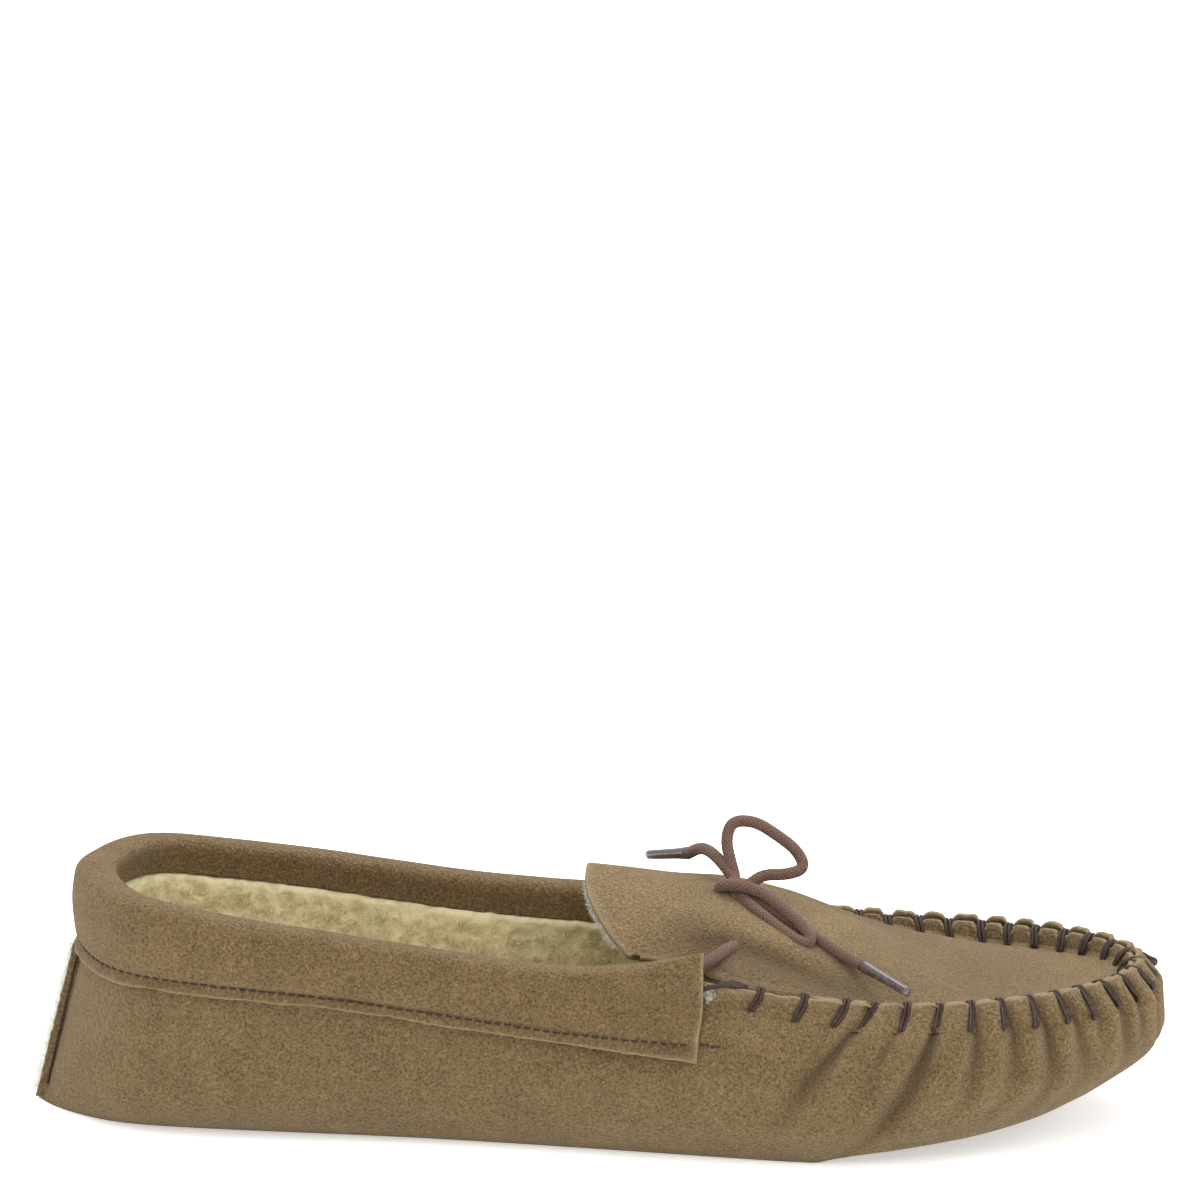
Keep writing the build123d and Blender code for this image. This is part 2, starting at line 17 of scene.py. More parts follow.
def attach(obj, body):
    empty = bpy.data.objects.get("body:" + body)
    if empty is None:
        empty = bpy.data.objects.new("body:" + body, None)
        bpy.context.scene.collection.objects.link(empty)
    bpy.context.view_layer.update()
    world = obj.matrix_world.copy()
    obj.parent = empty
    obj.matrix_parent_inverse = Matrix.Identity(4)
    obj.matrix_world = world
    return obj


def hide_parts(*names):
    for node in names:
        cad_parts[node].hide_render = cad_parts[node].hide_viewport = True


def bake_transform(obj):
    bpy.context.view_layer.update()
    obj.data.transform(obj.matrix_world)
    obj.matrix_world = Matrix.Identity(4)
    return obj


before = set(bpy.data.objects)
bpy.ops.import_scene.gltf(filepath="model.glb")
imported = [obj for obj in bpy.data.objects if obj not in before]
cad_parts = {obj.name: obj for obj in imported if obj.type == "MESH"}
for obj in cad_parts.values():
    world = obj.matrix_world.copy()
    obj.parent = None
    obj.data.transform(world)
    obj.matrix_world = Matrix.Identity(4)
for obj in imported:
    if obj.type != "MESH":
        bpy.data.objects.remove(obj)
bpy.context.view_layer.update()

MM = 0.001
rng = np.random.default_rng(7)

# %% [markdown]
# ## The sizes of the last
# A shoe is built round a last, a wooden foot. Here the last is a stack of outlines: each row
# gives a height, how far the heel and the toe stand in from the ends, and the half-widths at
# the heel, the waist and the ball of the foot. All the leather follows it.

# %% Sizes, in millimetres
LENGTH, RIDGE_HEIGHT = 290.0, 42.0
COLLAR_END, THROAT_X = 28.2, -4.0
SUEDE, LACE, AGLET_LENGTH = 1.6, 3.0, 18.5
APRON_THICKNESS, COLLAR_THICKNESS, LINING_THICKNESS = 1.45, 1.4, 2.2
BACK, TIP = -LENGTH / 2, LENGTH / 2
TOE_DRIFT, TOE_FULLNESS = 6.5, 2.13
LATERAL_BALL, MEDIAL_BALL, WAIST_FROM_HEEL = 0.688, 0.71, 0.345
HEEL_CENTRE = BACK + 40.0
LEVEL_STEP, LAST_TOP = 1.5, 78.0

LEVELS = np.array([
    # height, heel in, toe in, heel half, waist half, ball half
    (0.0, 8.5, 82.0, 21.3, 25.8, 38.6),
    (4.2, 6.5, 35.0, 28.4, 31.9, 42.6),
    (11.8, 7.5, 14.0, 33.4, 36.1, 47.8),
    (23.1, 10.0, 0.4, 34.8, 38.0, 49.0),
    (32.8, 12.0, 1.6, 35.5, 38.0, 45.3),
    (42.0, 13.5, 8.5, 35.5, 38.0, 36.8),
    (54.0, 14.0, 9.0, 34.8, 37.6, 38.2),
    (66.0, 16.0, 10.0, 33.4, 36.5, 38.2),
    (78.0, 16.0, 10.0, 33.4, 36.5, 38.2),
])


def spline(x, y, at):
    """Smooth values at places along rows of (x, y), without overshoot."""
    x, y, at = np.asarray(x, float), np.asarray(y, float), np.clip(at, x[0], x[-1])
    h = np.diff(x)
    d = np.diff(y) / h
    m = np.zeros(len(x))
    m[1:-1] = np.where(d[:-1] * d[1:] > 0, 2 * d[:-1] * d[1:] / (d[:-1] + d[1:] + 1e-12), 0.0)
    m[0], m[-1] = d[0], d[-1]
    i = np.clip(np.searchsorted(x, at, side="right") - 1, 0, len(x) - 2)
    t = (at - x[i]) / h[i]
    return (y[i] * (1 + 2 * t) * (1 - t) ** 2 + y[i + 1] * t * t * (3 - 2 * t)
            + h[i] * m[i] * t * (1 - t) ** 2 + h[i] * m[i + 1] * t * t * (t - 1))


def drift(x):
    """How far the shoe's middle line leans inwards at x."""
    ball = BACK + LATERAL_BALL * LENGTH
    return TOE_DRIFT * np.clip((x - ball) / (TIP - ball), 0, None) ** 2


def ring_points(z):
    """The twenty points of the outline at a height."""
    level = [spline(LEVELS[:, 0], LEVELS[:, k], np.array(z)) for k in range(1, 6)]
    back_in, tip_in, heel, waist, ball = level
    back, tip = BACK + back_in, TIP - tip_in
    sides = []
    for share in (LATERAL_BALL, MEDIAL_BALL):
        ball_x = BACK + share * LENGTH
        side = []
        for angle in (28, 58, 90):
            t = math.radians(angle)
            along = HEEL_CENTRE - (HEEL_CENTRE - back) * math.cos(t)
            side.append((along, heel * math.sin(t)))
        side.append((BACK + WAIST_FROM_HEEL * LENGTH, waist))
        for angle in (0, 24, 44, 61, 75):
            t = math.radians(angle)
            along = ball_x + (tip - ball_x) * math.sin(t) ** (2 / TOE_FULLNESS)
            side.append((along, ball * math.cos(t) ** (2 / TOE_FULLNESS)))
        sides.append(side)
    ring = [(back, 0.0)]
    ring += [(x, -y + drift(x)) for x, y in sides[0]]
    ring.append((tip, drift(tip)))
    ring += [(x, y + drift(x)) for x, y in sides[1][::-1]]
    return np.array(ring, float)


def closed_curve(points, pace, at):
    """A smooth closed curve through points, at shares 0 to 1 of its pace."""
    n = len(points)
    h = np.diff(pace)
    a = np.zeros((n, n))
    b = np.zeros((n, 2))
    for i in range(n):
        before, after = h[i - 1], h[i]
        a[i, i - 1] += after
        a[i, i] += 2 * (before + after)
        a[i, (i + 1) % n] += before
        here, nxt, prev = points[i], points[(i + 1) % n], points[i - 1]
        b[i] = 3 * (after * (here - prev) / before + before * (nxt - here) / after)
    m = np.linalg.solve(a, b)
    s = (np.asarray(at) % 1.0) * pace[-1]
    i = np.clip(np.searchsorted(pace, s, side="right") - 1, 0, n - 1)
    t = ((s - pace[i]) / h[i])[:, None]
    j = (i + 1) % n
    hi = h[i][:, None]
    return (points[i] * (1 + 2 * t) * (1 - t) ** 2 + points[j] * t * t * (3 - 2 * t)
            + hi * m[i] * t * (1 - t) ** 2 + hi * m[j] * t * t * (t - 1))


widest = ring_points(23.1)
PACE = np.concatenate([[0], np.cumsum(np.linalg.norm(
    np.roll(widest, -1, axis=0) - widest, axis=1))])
known_rows = {}


def outline(z, at, inset=0.0):
    """Points (x, y) of the last at height z, moved in by inset, at shares of the way round."""
    key = (round(float(z), 2), len(at), round(float(at[0]), 5), round(float(at[-1]), 5))
    if key not in known_rows:
        here = closed_curve(ring_points(key[0]), PACE, at)
        ahead = closed_curve(ring_points(key[0]), PACE, np.asarray(at) + 0.0008)
        way = ahead - here
        way /= np.linalg.norm(way, axis=1)[:, None]
        known_rows[key] = (here, np.stack([-way[:, 1], way[:, 0]], axis=1))
    here, inward = known_rows[key]
    return here + inward * np.asarray(inset).reshape(-1, 1)


def last(z, at, inset=0.0):
    """Points (x, y, z) of the last for heights z that differ from place to place."""
    z = np.asarray(z, float)
    steps = np.arange(0.0, LAST_TOP + 0.5, LEVEL_STEP)
    table = np.stack([outline(s, at) for s in steps])
    inner = np.stack([outline(s, at, 1.0) for s in steps]) - table
    k = np.clip(z / LEVEL_STEP, 0, len(steps) - 1.001)
    i = k.astype(int)
    t = (k - i)[:, None]
    n = np.arange(len(at))
    here = table[i, n] * (1 - t) + table[i + 1, n] * t
    inward = inner[i, n] * (1 - t) + inner[i + 1, n] * t
    here = here + inward * np.asarray(inset).reshape(-1, 1)
    return np.column_stack([here, z])


# %% [markdown]
# Heights along the shoe: the collar's rim and its raw edge, the gathered seam and the apron.

# %% Lines along the shoe
RIM = np.array([(-165, 66), (-133, 65.2), (-76.9, 58.7), (-26.1, 52.4), (-5.8, 51.3),
                (27, 54.1), (52, 56.2)])
EDGE = np.array([(-165, 43.6), (-133, 42.6), (-76.9, 40.0), (-26.1, 34.0), (27, 29.4), (52, 27.6)])
CROWN = np.array([(-16, 63.8), (-4, 63.0), (24, 59.8), (45, 54.8), (62.4, 48.0), (79.8, 41.0),
                  (100, 36.8), (124.7, 35.6), (165, 35.6)])
APRON_SIDE = np.array([(-16, 50), (-4, 50), (24, 47), (45, 40), (62.4, 37), (79.8, 34.6),
                       (100, 33.4), (165, 33.8)])
APRON_HALF = np.array([(-16, 26), (14, 26), (24, 28), (36, 35.8), (45, 37.8), (165, 37.8)])


def line(rows, x):
    """The height or width that rows of (x, value) give at x."""
    return spline(rows[:, 0], rows[:, 1], x)


def rim_at(x, y):
    """Height of the collar's rim: lower on the inner side, and lifted at the near front end."""
    inner_side = smooth(-5, 18, y)
    lower = 2.5 * inner_side + 2.2 * smooth(-10, 12, x) * inner_side
    near_end = np.interp(x, [-40, -2, 12, 27], [0.0, -1.6, -1.2, 1.2]) * (1 - inner_side)
    return line(RIM, x) - lower + near_end


RIDGE_TOP, RIDGE_CLIMB, CLIMB_RUN = 40.4, 6.6, 60.0


def ridge_z(x):
    """Height of the gathered seam: it climbs towards the collar."""
    return RIDGE_TOP + RIDGE_CLIMB * (1 - np.clip((x - COLLAR_END) / CLIMB_RUN, 0, 1)) ** 2


def vamp_z(x, y):
    """Height of the apron's top face."""
    across = np.clip(np.abs(y - drift(x)) / line(APRON_HALF, x), 0, 1)
    side = line(APRON_SIDE, x)
    return side + (line(CROWN, x) - side) * (1 - across ** 2)


def smooth(low, high, x):
    """0 at low, 1 at high, with a soft start and end; the two may be swapped."""
    t = np.clip((x - low) / (high - low), 0, 1)
    return t * t * (3 - 2 * t)


# %% [markdown]
# ## The camera
# A long lens from a little above the toe's height, so that the shoe shows its outer side and
# the way in.

# %% Camera
AIM = Vector((-0.0003, 0.0, 0.1357))
AZIMUTH, ELEVATION, DISTANCE = math.radians(3.5), math.radians(17.85), 5.0
VIEW_WIDTH, FRONT_FACE = 0.3053, 0.042
away = Vector((math.sin(AZIMUTH) * math.cos(ELEVATION),
               -math.cos(AZIMUTH) * math.cos(ELEVATION), math.sin(ELEVATION)))
bpy.ops.object.camera_add()
camera = bpy.context.object
camera.location = AIM + away * DISTANCE
camera.rotation_euler = (-away).to_track_quat("-Z", "Y").to_euler()
camera.data.lens_unit = "FOV"
camera.data.angle = 2 * math.atan(VIEW_WIDTH / 2 / (DISTANCE + FRONT_FACE))
camera.data.clip_end = 20
bpy.context.scene.camera = camera
print("camera:", round(DISTANCE, 1), "m away")


# %% [markdown]
# ## Helpers
# A sheet of leather is a grid of points: rows across, columns along. One function turns a
# grid into a mesh object; another lays a round thread or cord along points.

# %% Helpers
def grid(name, points, close=False, flip=False):
    """A mesh object from an array of rows x columns x 3, in millimetres."""
    rows, cols = points.shape[:2]
    index = np.arange(rows * cols).reshape(rows, cols)
    if close:
        index = np.hstack([index, index[:, :1]])
    a, b = index[:-1, :-1].ravel(), index[:-1, 1:].ravel()
    c, d = index[1:, 1:].ravel(), index[1:, :-1].ravel()
    faces = np.stack([a, b, c, d] if flip else [d, c, b, a], axis=1)
    mesh = bpy.data.meshes.new(name)
    mesh.from_pydata((points.reshape(-1, 3) * MM).tolist(), [], faces.tolist())
    mesh.update()
    mesh.shade_smooth()
    obj = bpy.data.objects.new(name, mesh)
    bpy.context.collection.objects.link(obj)
    return obj


def note(obj, name, values):
    """Stores one number per vertex, for a material to read."""
    layer = obj.data.attributes.new(name, "FLOAT", "POINT")
    layer.data.foreach_set("value", np.asarray(values, np.float32).ravel())


def spine_places(x, share, low, high):
    """Places on a spine for a ring's points; at the spine itself they share a 2 mm grid."""
    x = np.clip(x, low, high)
    return np.round(x / 2) * 2 if share == 0 else x


def close_gaps(obj):
    """Merges points that lie on each other, so that a grid's ends meet without a slit."""
    work = bmesh.new()
    work.from_mesh(obj.data)
    bmesh.ops.remove_doubles(work, verts=work.verts, dist=0.00002)
    bmesh.ops.dissolve_degenerate(work, edges=work.edges, dist=0.00001)
    work.to_mesh(obj.data)
    work.free()
    up = np.mean([f.normal.z for f in obj.data.polygons])
    print(obj.name, "mean normal up", round(float(up), 2))


def soft_noise(points, size, seed=0):
    """Smooth noise from -1 to 1 at points in millimetres; size is the width of a lump."""
    shift = Vector((seed * 13.1, seed * 7.7, seed * 3.3))
    flat = np.asarray(points).reshape(-1, 3) / size
    values = [noise.noise(Vector(p) + shift) for p in flat]
    return np.array(values).reshape(np.asarray(points).shape[:-1])


def thread(name, runs, diameter, sides=3):
    """One curve object with a round thread along each run of points, in millimetres."""
    data = bpy.data.curves.new(name, "CURVE")
    data.dimensions = "3D"
    data.bevel_depth = diameter / 2 * MM
    data.bevel_resolution = sides
    data.use_fill_caps = True
    for run in runs:
        line_ = data.splines.new("BEZIER")
        line_.bezier_points.add(len(run) - 1)
        for point, place in zip(line_.bezier_points, run):
            point.co = Vector(place) * MM
            point.handle_left_type = point.handle_right_type = "AUTO"
    obj = bpy.data.objects.new(name, data)
    bpy.context.collection.objects.link(obj)
    return obj


def finish_piece(obj, material, body):
    """Gives a piece its material and joins it to a body."""
    obj.data.materials.clear()
    obj.data.materials.append(material)
    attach(obj, body)


def unit(vectors):
    """The vectors of a list, each made one long."""
    return vectors / np.linalg.norm(vectors, axis=1)[:, None]


def thicken(obj, thickness, offset):
    """Gives a sheet its thickness; offset -1 puts it behind the sheet and 0 half each way."""
    solid = obj.modifiers.new("thickness", "SOLIDIFY")
    solid.thickness = thickness * MM
    solid.offset = offset


def run_lengths(path):
    """How far along a path each of its points lies."""
    return np.concatenate([[0], np.cumsum(np.linalg.norm(np.diff(path, axis=0), axis=1))])


# %% [markdown]
# ## The stitches' places
# The hand stitches set everything at the toe: each one gathers the wrap, so each needs a
# place along the ridge. They start wide apart beside the collar and close up towards the toe.

# %% Places of the stitches
AROUND = np.linspace(0, 1, 1440, endpoint=False)
ridge_ring = outline(RIDGE_HEIGHT, AROUND)
step = np.linalg.norm(np.roll(ridge_ring, -1, axis=0) - ridge_ring, axis=1)
near_end = int(np.argmin(np.where(AROUND < 0.5, np.abs(ridge_ring[:, 0] - COLLAR_END), 999)))
far_end = int(np.argmin(np.where(AROUND > 0.5, np.abs(ridge_ring[:, 0] - COLLAR_END), 999)))
ARC = np.concatenate([[0], np.cumsum(step)[:-1]])
ARC = ARC - ARC[near_end]
RUN = ARC[far_end]

FIRST_GAPS, EVEN_GAP, GAP_SPREAD = [14.2, 10.7, 10.2, 7.4, 8.5, 8.1, 8.6], 7.4, 0.06
inner_run = RUN - 2 * sum(FIRST_GAPS)
even = int(round(inner_run / EVEN_GAP))
gaps = FIRST_GAPS + [inner_run / even] * even + FIRST_GAPS[::-1]
gaps = [g * (1 + GAP_SPREAD * rng.uniform(-1, 1)) for g in gaps]
STITCH_ARC = np.cumsum(gaps)[:-1] * RUN / sum(gaps)
STITCHES = len(STITCH_ARC)
print("stitches round the toe:", STITCHES, "run", round(float(RUN)), "mm")


def arc_at(at):
    """Distance along the ridge from the near end of the collar, at shares of the outline."""
    return np.interp(at, np.append(AROUND, 1.0), np.append(ARC, ARC[-1] + step[-1]))


def at_arc(arc):
    """The share of the outline at a distance along the ridge."""
    return np.interp(arc, ARC, AROUND)


SIDE_FURROWS = np.array([
    # depth, reach down the side, lean towards the heel: one row a stitch, from the collar on
    (1.0, 9, -0.20), (1.6, 12, -0.30), (2.3, 24, -0.60), (3.6, 46, -0.76), (2.9, 18, -0.55),
    (3.9, 30, -0.44), (3.5, 21, -0.14), (3.5, 20, -0.03), (3.7, 23, 0.08), (3.4, 21, 0.14),
])
GROOVE_DEPTH = rng.uniform(3.0, 3.8, STITCHES)
GROOVE_REACH = rng.uniform(15, 22, STITCHES)
GROOVE_LEAN = rng.normal(0.0, 0.05, STITCHES)
for k, (deep_, reach_, lean_) in enumerate(SIDE_FURROWS):
    GROOVE_DEPTH[k], GROOVE_REACH[k], GROOVE_LEAN[k] = deep_, reach_, lean_
    other = STITCHES - 1 - k
    GROOVE_DEPTH[other] = deep_ * rng.uniform(0.85, 1.1)
    GROOVE_REACH[other] = reach_ * rng.uniform(0.75, 1.1)
    GROOVE_LEAN[other] = -lean_ * rng.uniform(0.6, 1.1)


GATHER_FROM, GATHER_FULL = 6, 44
PUFF_HEIGHT, PUFF_REACH = 2.1, 14.0
GROOVE_WIDTH, GROOVE_SPREAD = 1.25, 0.085
TOP_SHARE = 0.45  # how much of a gather shows in the height of the ridge


def toe_share(arc):
    """0 beside the collar, 1 round the toe: how strongly the wrap is gathered."""
    return smooth(GATHER_FROM, GATHER_FULL, arc) * smooth(GATHER_FROM, GATHER_FULL, RUN - arc)


def gathers(arc, depth):
    """How far the wrap stands out, in mm, at an arc place and a depth below the ridge."""
    out = np.zeros(np.broadcast(arc, depth).shape)
    share = toe_share(arc)
    for k in range(STITCHES):
        centre = STITCH_ARC[k] + GROOVE_LEAN[k] * depth
        width = GROOVE_WIDTH + GROOVE_SPREAD * depth
        well = np.exp(-((arc - centre) / width) ** 2)
        fade = np.exp(-(depth / GROOVE_REACH[k]) ** 2)
        out -= GROOVE_DEPTH[k] * well * fade
    puff = PUFF_HEIGHT * np.exp(-(depth / PUFF_REACH) ** 2)
    return (out + puff) * share


# %% [markdown]
# ## The wrap
# Sole and sides are one piece of suede. The outside is a grid that goes once round the last;
# its rows run from inside the top edge, over it, down the side and in under the sole. Between
# two stitches the leather puffs out and at each stitch it is pulled in.

# %% Wrap
COLS = 1080
HIDDEN_BY_COLLAR = 6.0  # the wrap's top edge lies this far below the rim
MEET_X, MEET_TOP = COLLAR_END - 9, 44.6
at = np.linspace(0, 1, COLS, endpoint=False)
arc = arc_at(at)
ridge_xy = outline(RIDGE_HEIGHT, at)
top_x = ridge_xy[:, 0]
meeting = np.interp(top_x, [MEET_X, COLLAR_END], [MEET_TOP, RIDGE_TOP + RIDGE_CLIMB])
top = np.where(top_x < MEET_X, rim_at(top_x, ridge_xy[:, 1]) - HIDDEN_BY_COLLAR, meeting)
top = np.where(top_x > COLLAR_END, ridge_z(top_x), top)
puffs = gathers(arc, np.zeros(COLS))
top = top + TOP_SHARE * puffs + 0.35 * soft_noise(np.column_stack([ridge_xy, top]), 2.5, 3)

rows = []
for sink in (6.0, 3.0, 1.2, 0.3):
    rows.append(last(top - sink, at, SUEDE))
for inset, rise in ((1.3, 0.12), (0.8, 0.25), (0.3, 0.12)):
    rows.append(last(top, at, inset) + np.array([0, 0, rise]))
shares = np.concatenate([np.linspace(0, 0.30, 19), np.linspace(0.30, 1.0, 31)[1:]])
for share in shares:
    rows.append(last(top * (1 - share), at))
wall = np.stack(rows)
EDGE_ROW, FIRST_WALL = 5, 7
print("wrap rows:", len(rows))

# %% [markdown]
# Each row of the side is now pushed out or in by the gathers, by broad lumps of the leather
# and by finer ones. The push fades away at the floor.

# %% Gathers in the wrap
out_way = last(np.full(COLS, 20.0), at, -1.0) - last(np.full(COLS, 20.0), at)
for i in range(wall.shape[0]):
    if i < FIRST_WALL:
        depth = np.zeros(COLS)
        strength = 0.75
    else:
        depth = np.linalg.norm(wall[i] - wall[FIRST_WALL], axis=1)
        strength = 1.0
    near_floor = smooth(0.0, 9.0, wall[i, :, 2])
    lumps = 0.55 * soft_noise(wall[i] * np.array([1, 1, 1.6]), 34.0, 5)
    lumps += 0.25 * soft_noise(wall[i], 13.0, 9) * smooth(4, 16, depth)
    push = gathers(arc, depth) * strength + (lumps - 0.25) * smooth(2, 14, depth)
    push -= 1.2 * smooth(96, 140, wall[i, :, 0])
    wall[i] += out_way * (push * near_floor)[:, None]

# %% [markdown]
# The seam behind the heel draws the leather back to a keel, most of it close to the seam.

# %% Heel keel
heel_line = np.interp(wall[:, :, 2], [0, 3.5, 42], [-143.2, -141.2, -131.2])
back_line = np.interp(wall[:, :, 2], [0, 4.2, 11.8, 23.1, 32.8, 42],
                      [-136.5, -138.5, -137.5, -135, -133, -131.5])
drawn = np.clip(back_line - heel_line, 0, None) + 0.4
reach_y = np.abs(wall[:, :, 1])
pull_back = drawn * (0.75 * np.exp(-(reach_y / 12.5) ** 2) + 0.25 * np.exp(-reach_y / 3.0))
wall[FIRST_WALL:, :, 0] -= (pull_back * (wall[:, :, 0] < -90))[FIRST_WALL:]

# %% [markdown]
# The sole closes the wrap: rings shrink from the foot of the side to a spine down the middle.

# %% Sole
foot = wall[-1]
sole = []
for share in (0.985, 0.95, 0.86, 0.72, 0.55, 0.36, 0.18, 0.0):
    spine_x = spine_places(foot[:, 0], share, -100.0, 60.0)
    spine = np.column_stack([spine_x, drift(spine_x), np.zeros(COLS)])
    ring = spine + (foot - spine) * share
    ring[:, 2] = 0.0
    sole.append(ring)
wrap_points = np.concatenate([wall, np.stack(sole)])
wrap = grid("wrap", wrap_points, close=True)
edge = np.exp(-np.abs(np.linalg.norm(
    wrap_points - wrap_points[EDGE_ROW][None], axis=2)) / 1.1)
note(wrap, "edge", edge * smooth(COLLAR_END - 2, COLLAR_END + 2, wrap_points[:, :, 0]))
# Painted shade: the wrap's colour is darkened in the grooves of the gathers.
note(wrap, "fold", np.clip(-gathers(arc[None, :], np.clip(
    np.linalg.norm(wrap_points - wrap_points[FIRST_WALL][None], axis=2), 0, 200)) / 2.0, -1, 1))
close_gaps(wrap)
print("wrap:", len(wrap.data.vertices), "points")


# %% [markdown]
# ## The heel seam
# Behind the heel the wrap's two edges are turned out and sewn together, so they stand up as
# a narrow fin. Each flange is a plate of suede; the white backing shows between them.

# %% Heel fin
def plate(name, outline_xz, y, thick, wobble):
    """An upright plate in the side view, as a grid from its inner to its outer edge."""
    inner, outer = outline_xz
    up = np.linspace(0, 1, 60)
    rows_ = []
    for share in np.linspace(0, 1, 9):
        x = (inner[0][0] * (1 - up) + inner[1][0] * up) * (1 - share)
        x = x + (outer[0][0] * (1 - up) + outer[1][0] * up) * share
        z = (inner[0][1] * (1 - up) + inner[1][1] * up) * (1 - share)
        z = z + (outer[0][1] * (1 - up) + outer[1][1] * up) * share
        bend = wobble * np.sin(up * 9.0 + y) * share
        ragged = 0.28 * soft_noise(np.column_stack([x, z, 0 * x]), 1.8, 4) * (share > 0.9)
        rows_.append(np.column_stack([x - ragged, 0 * x + y + bend, z]))
    obj = grid(name, np.stack(rows_))
    thicken(obj, thick, 0)
    round_ = obj.modifiers.new("rounding", "BEVEL")
    round_.width = 0.3 * MM
    round_.segments = 2
    return obj


FIN = (((-133.0, 0.3), (-129.5, 42.5)), ((-144.2, 0.8), (-134.2, 42.0)))
FLANGE_Y, FLANGE_THICKNESS = 1.45, 1.5
flanges = [plate("heel_flange_near", FIN, -FLANGE_Y, FLANGE_THICKNESS, 0.15),
           plate("heel_flange_far", FIN, FLANGE_Y, FLANGE_THICKNESS, 0.15)]
HEEL_STITCHES = 12
BACKING = (((-133.0, 3.0), (-129.5, 42.0)), ((-145.2, 2.6), (-135.4, 41.6)))
fin_backing = plate("heel_backing", BACKING, -0.2, FLANGE_THICKNESS, 0.25)
heel_runs = []
for side in (-1, 1):
    foot_ = np.array([-141.2, 2.5 * side, 4.2])
    head_ = np.array([-132.9, 2.5 * side, 40.5])
    for k in range(HEEL_STITCHES):
        a_ = foot_ + (head_ - foot_) * (k + 0.14) / HEEL_STITCHES
        b_ = foot_ + (head_ - foot_) * (k + 0.86) / HEEL_STITCHES
        bow_ = (a_ + b_) / 2 - np.array([0, 0.15 * side, 0])
        sunk = np.array([0, 0.5 * side, 0])
        heel_runs.append([a_ - sunk, a_ - sunk * 0.2, bow_, b_ - sunk * 0.2, b_ - sunk])
heel_thread = thread("heel_stitches", heel_runs, 0.62)
print("heel stitches:", len(heel_runs))

# %% [markdown]
# ## The apron and the tongue
# One piece of suede lies over the toes and ends behind in a free tongue. Its grid runs in
# rings from a spine out to the edge, then up the inside of the ridge where it is sewn.

# %% Apron
RING, CORNER_ROUNDS = 900, 6
TONGUE_HALF = 26.5


def throat_x(y):
    """Where the tongue's free edge lies: rounded, furthest back in the middle."""
    return THROAT_X + 16.5 * np.clip(np.abs(y) / 29.0, 0, 1) ** 2.7


def apron_edge():
    """The apron's edge in plan: the sewn seam in front, the free tongue behind."""
    sewn = outline(RIDGE_HEIGHT, at_arc(np.linspace(6, RUN - 6, 640)), SUEDE + 0.2)
    left = np.array([(x, line(APRON_HALF, x)) for x in np.linspace(30, 15, 24)])
    across_ = np.linspace(TONGUE_HALF, -TONGUE_HALF, 120)
    back = np.column_stack([throat_x(across_), across_])
    right = left[::-1] * np.array([1, -1])
    path = np.concatenate([sewn, left, back, right])
    step_ = run_lengths(path)
    even_ = np.linspace(0, step_[-1], RING)
    path = np.column_stack([np.interp(even_, step_, path[:, i]) for i in range(2)])
    for _ in range(CORNER_ROUNDS):
        path = 0.25 * np.roll(path, 1, axis=0) + 0.5 * path + 0.25 * np.roll(path, -1, axis=0)
    return path


edge_xy = apron_edge()
near = np.linalg.norm(ridge_xy[None, :, :] - edge_xy[:, None, :], axis=2).argmin(axis=1)
edge_arc = arc[near]
sewn = smooth(COLLAR_END - 4, COLLAR_END + 9, edge_xy[:, 0])


def crease(x, y):
    """Soft folds that run forward from the lace's holes, and the hollow beside them."""
    fold = 0.0
    for sign in (-1, 1):
        side = sign * (y - drift(x))
        path = 22.0 + 0.16 * (x - 28)
        valley = np.exp(-((side - path) / 3.4) ** 2) * smooth(18, 34, x) * smooth(74, 44, x)
        crest = np.exp(-((side - path + 6.5) / 4.5) ** 2) * smooth(14, 30, x) * smooth(70, 44, x)
        fold = fold - 1.5 * valley + 1.0 * crest
    dip = -0.8 * np.exp(-((x - 96) / 24) ** 2) * (1 - np.clip(np.abs(y) / 34, 0, 1) ** 2)
    return fold + dip


rings = []
for share in np.concatenate([[0.0, 0.04], np.linspace(0.08, 1.0, 60)]):
    spine_x = spine_places(edge_xy[:, 0], share, 22.0, 102.0)
    spine = np.column_stack([spine_x, drift(spine_x)])
    xy = spine + (edge_xy - spine) * share
    z = vamp_z(xy[:, 0], xy[:, 1]) + crease(xy[:, 0], xy[:, 1])
    z = z + 0.35 * soft_noise(np.column_stack([xy, z]), 26.0, 11)
    lift = smooth(0.90, 1.0, np.full(RING, share)) * 1.2 * sewn
    rings.append(np.column_stack([xy, z + lift]))
flat = np.stack(rings)
print("apron rings:", len(rings))

# %% [markdown]
# At the seam the apron's edge turns up beside the ridge and follows its gathers.

# %% Turned-up edge
rim_base = flat[-1]
ridge_here = ridge_z(edge_xy[:, 0]) - 0.7 + TOP_SHARE * gathers(edge_arc, np.zeros(RING))
pull = gathers(edge_arc, np.zeros(RING))
wall_rows = []
in_way = outline(RIDGE_HEIGHT, at[near], 1.0) - outline(RIDGE_HEIGHT, at[near])
for share in np.linspace(0.12, 1.0, 9):
    up = rim_base.copy()
    up[:, 2] = rim_base[:, 2] * (1 - share) + (ridge_here - 0.1) * share
    ripple = (0.5 * pull * share - 0.5 * (1 - share)) * sewn
    up[:, :2] -= in_way * ripple[:, None] * 0.7
    wall_rows.append(up)
turned = np.stack(wall_rows)
blend_ = sewn[None, :, None]
turned = turned * blend_ + rim_base[None] * (1 - blend_)
apron_points = np.concatenate([flat, turned])
apron = grid("apron", apron_points, close=True, flip=True)
free = np.linalg.norm(apron_points[:, :, :2] - edge_xy[None], axis=2)
turned_up = np.zeros(apron_points.shape[:2])
turned_up[-3:] = np.array([0.2, 0.6, 1.0])[:, None]
note(apron, "edge", np.exp(-free / 0.9) * (1 - sewn)[None] + sewn[None] * turned_up)
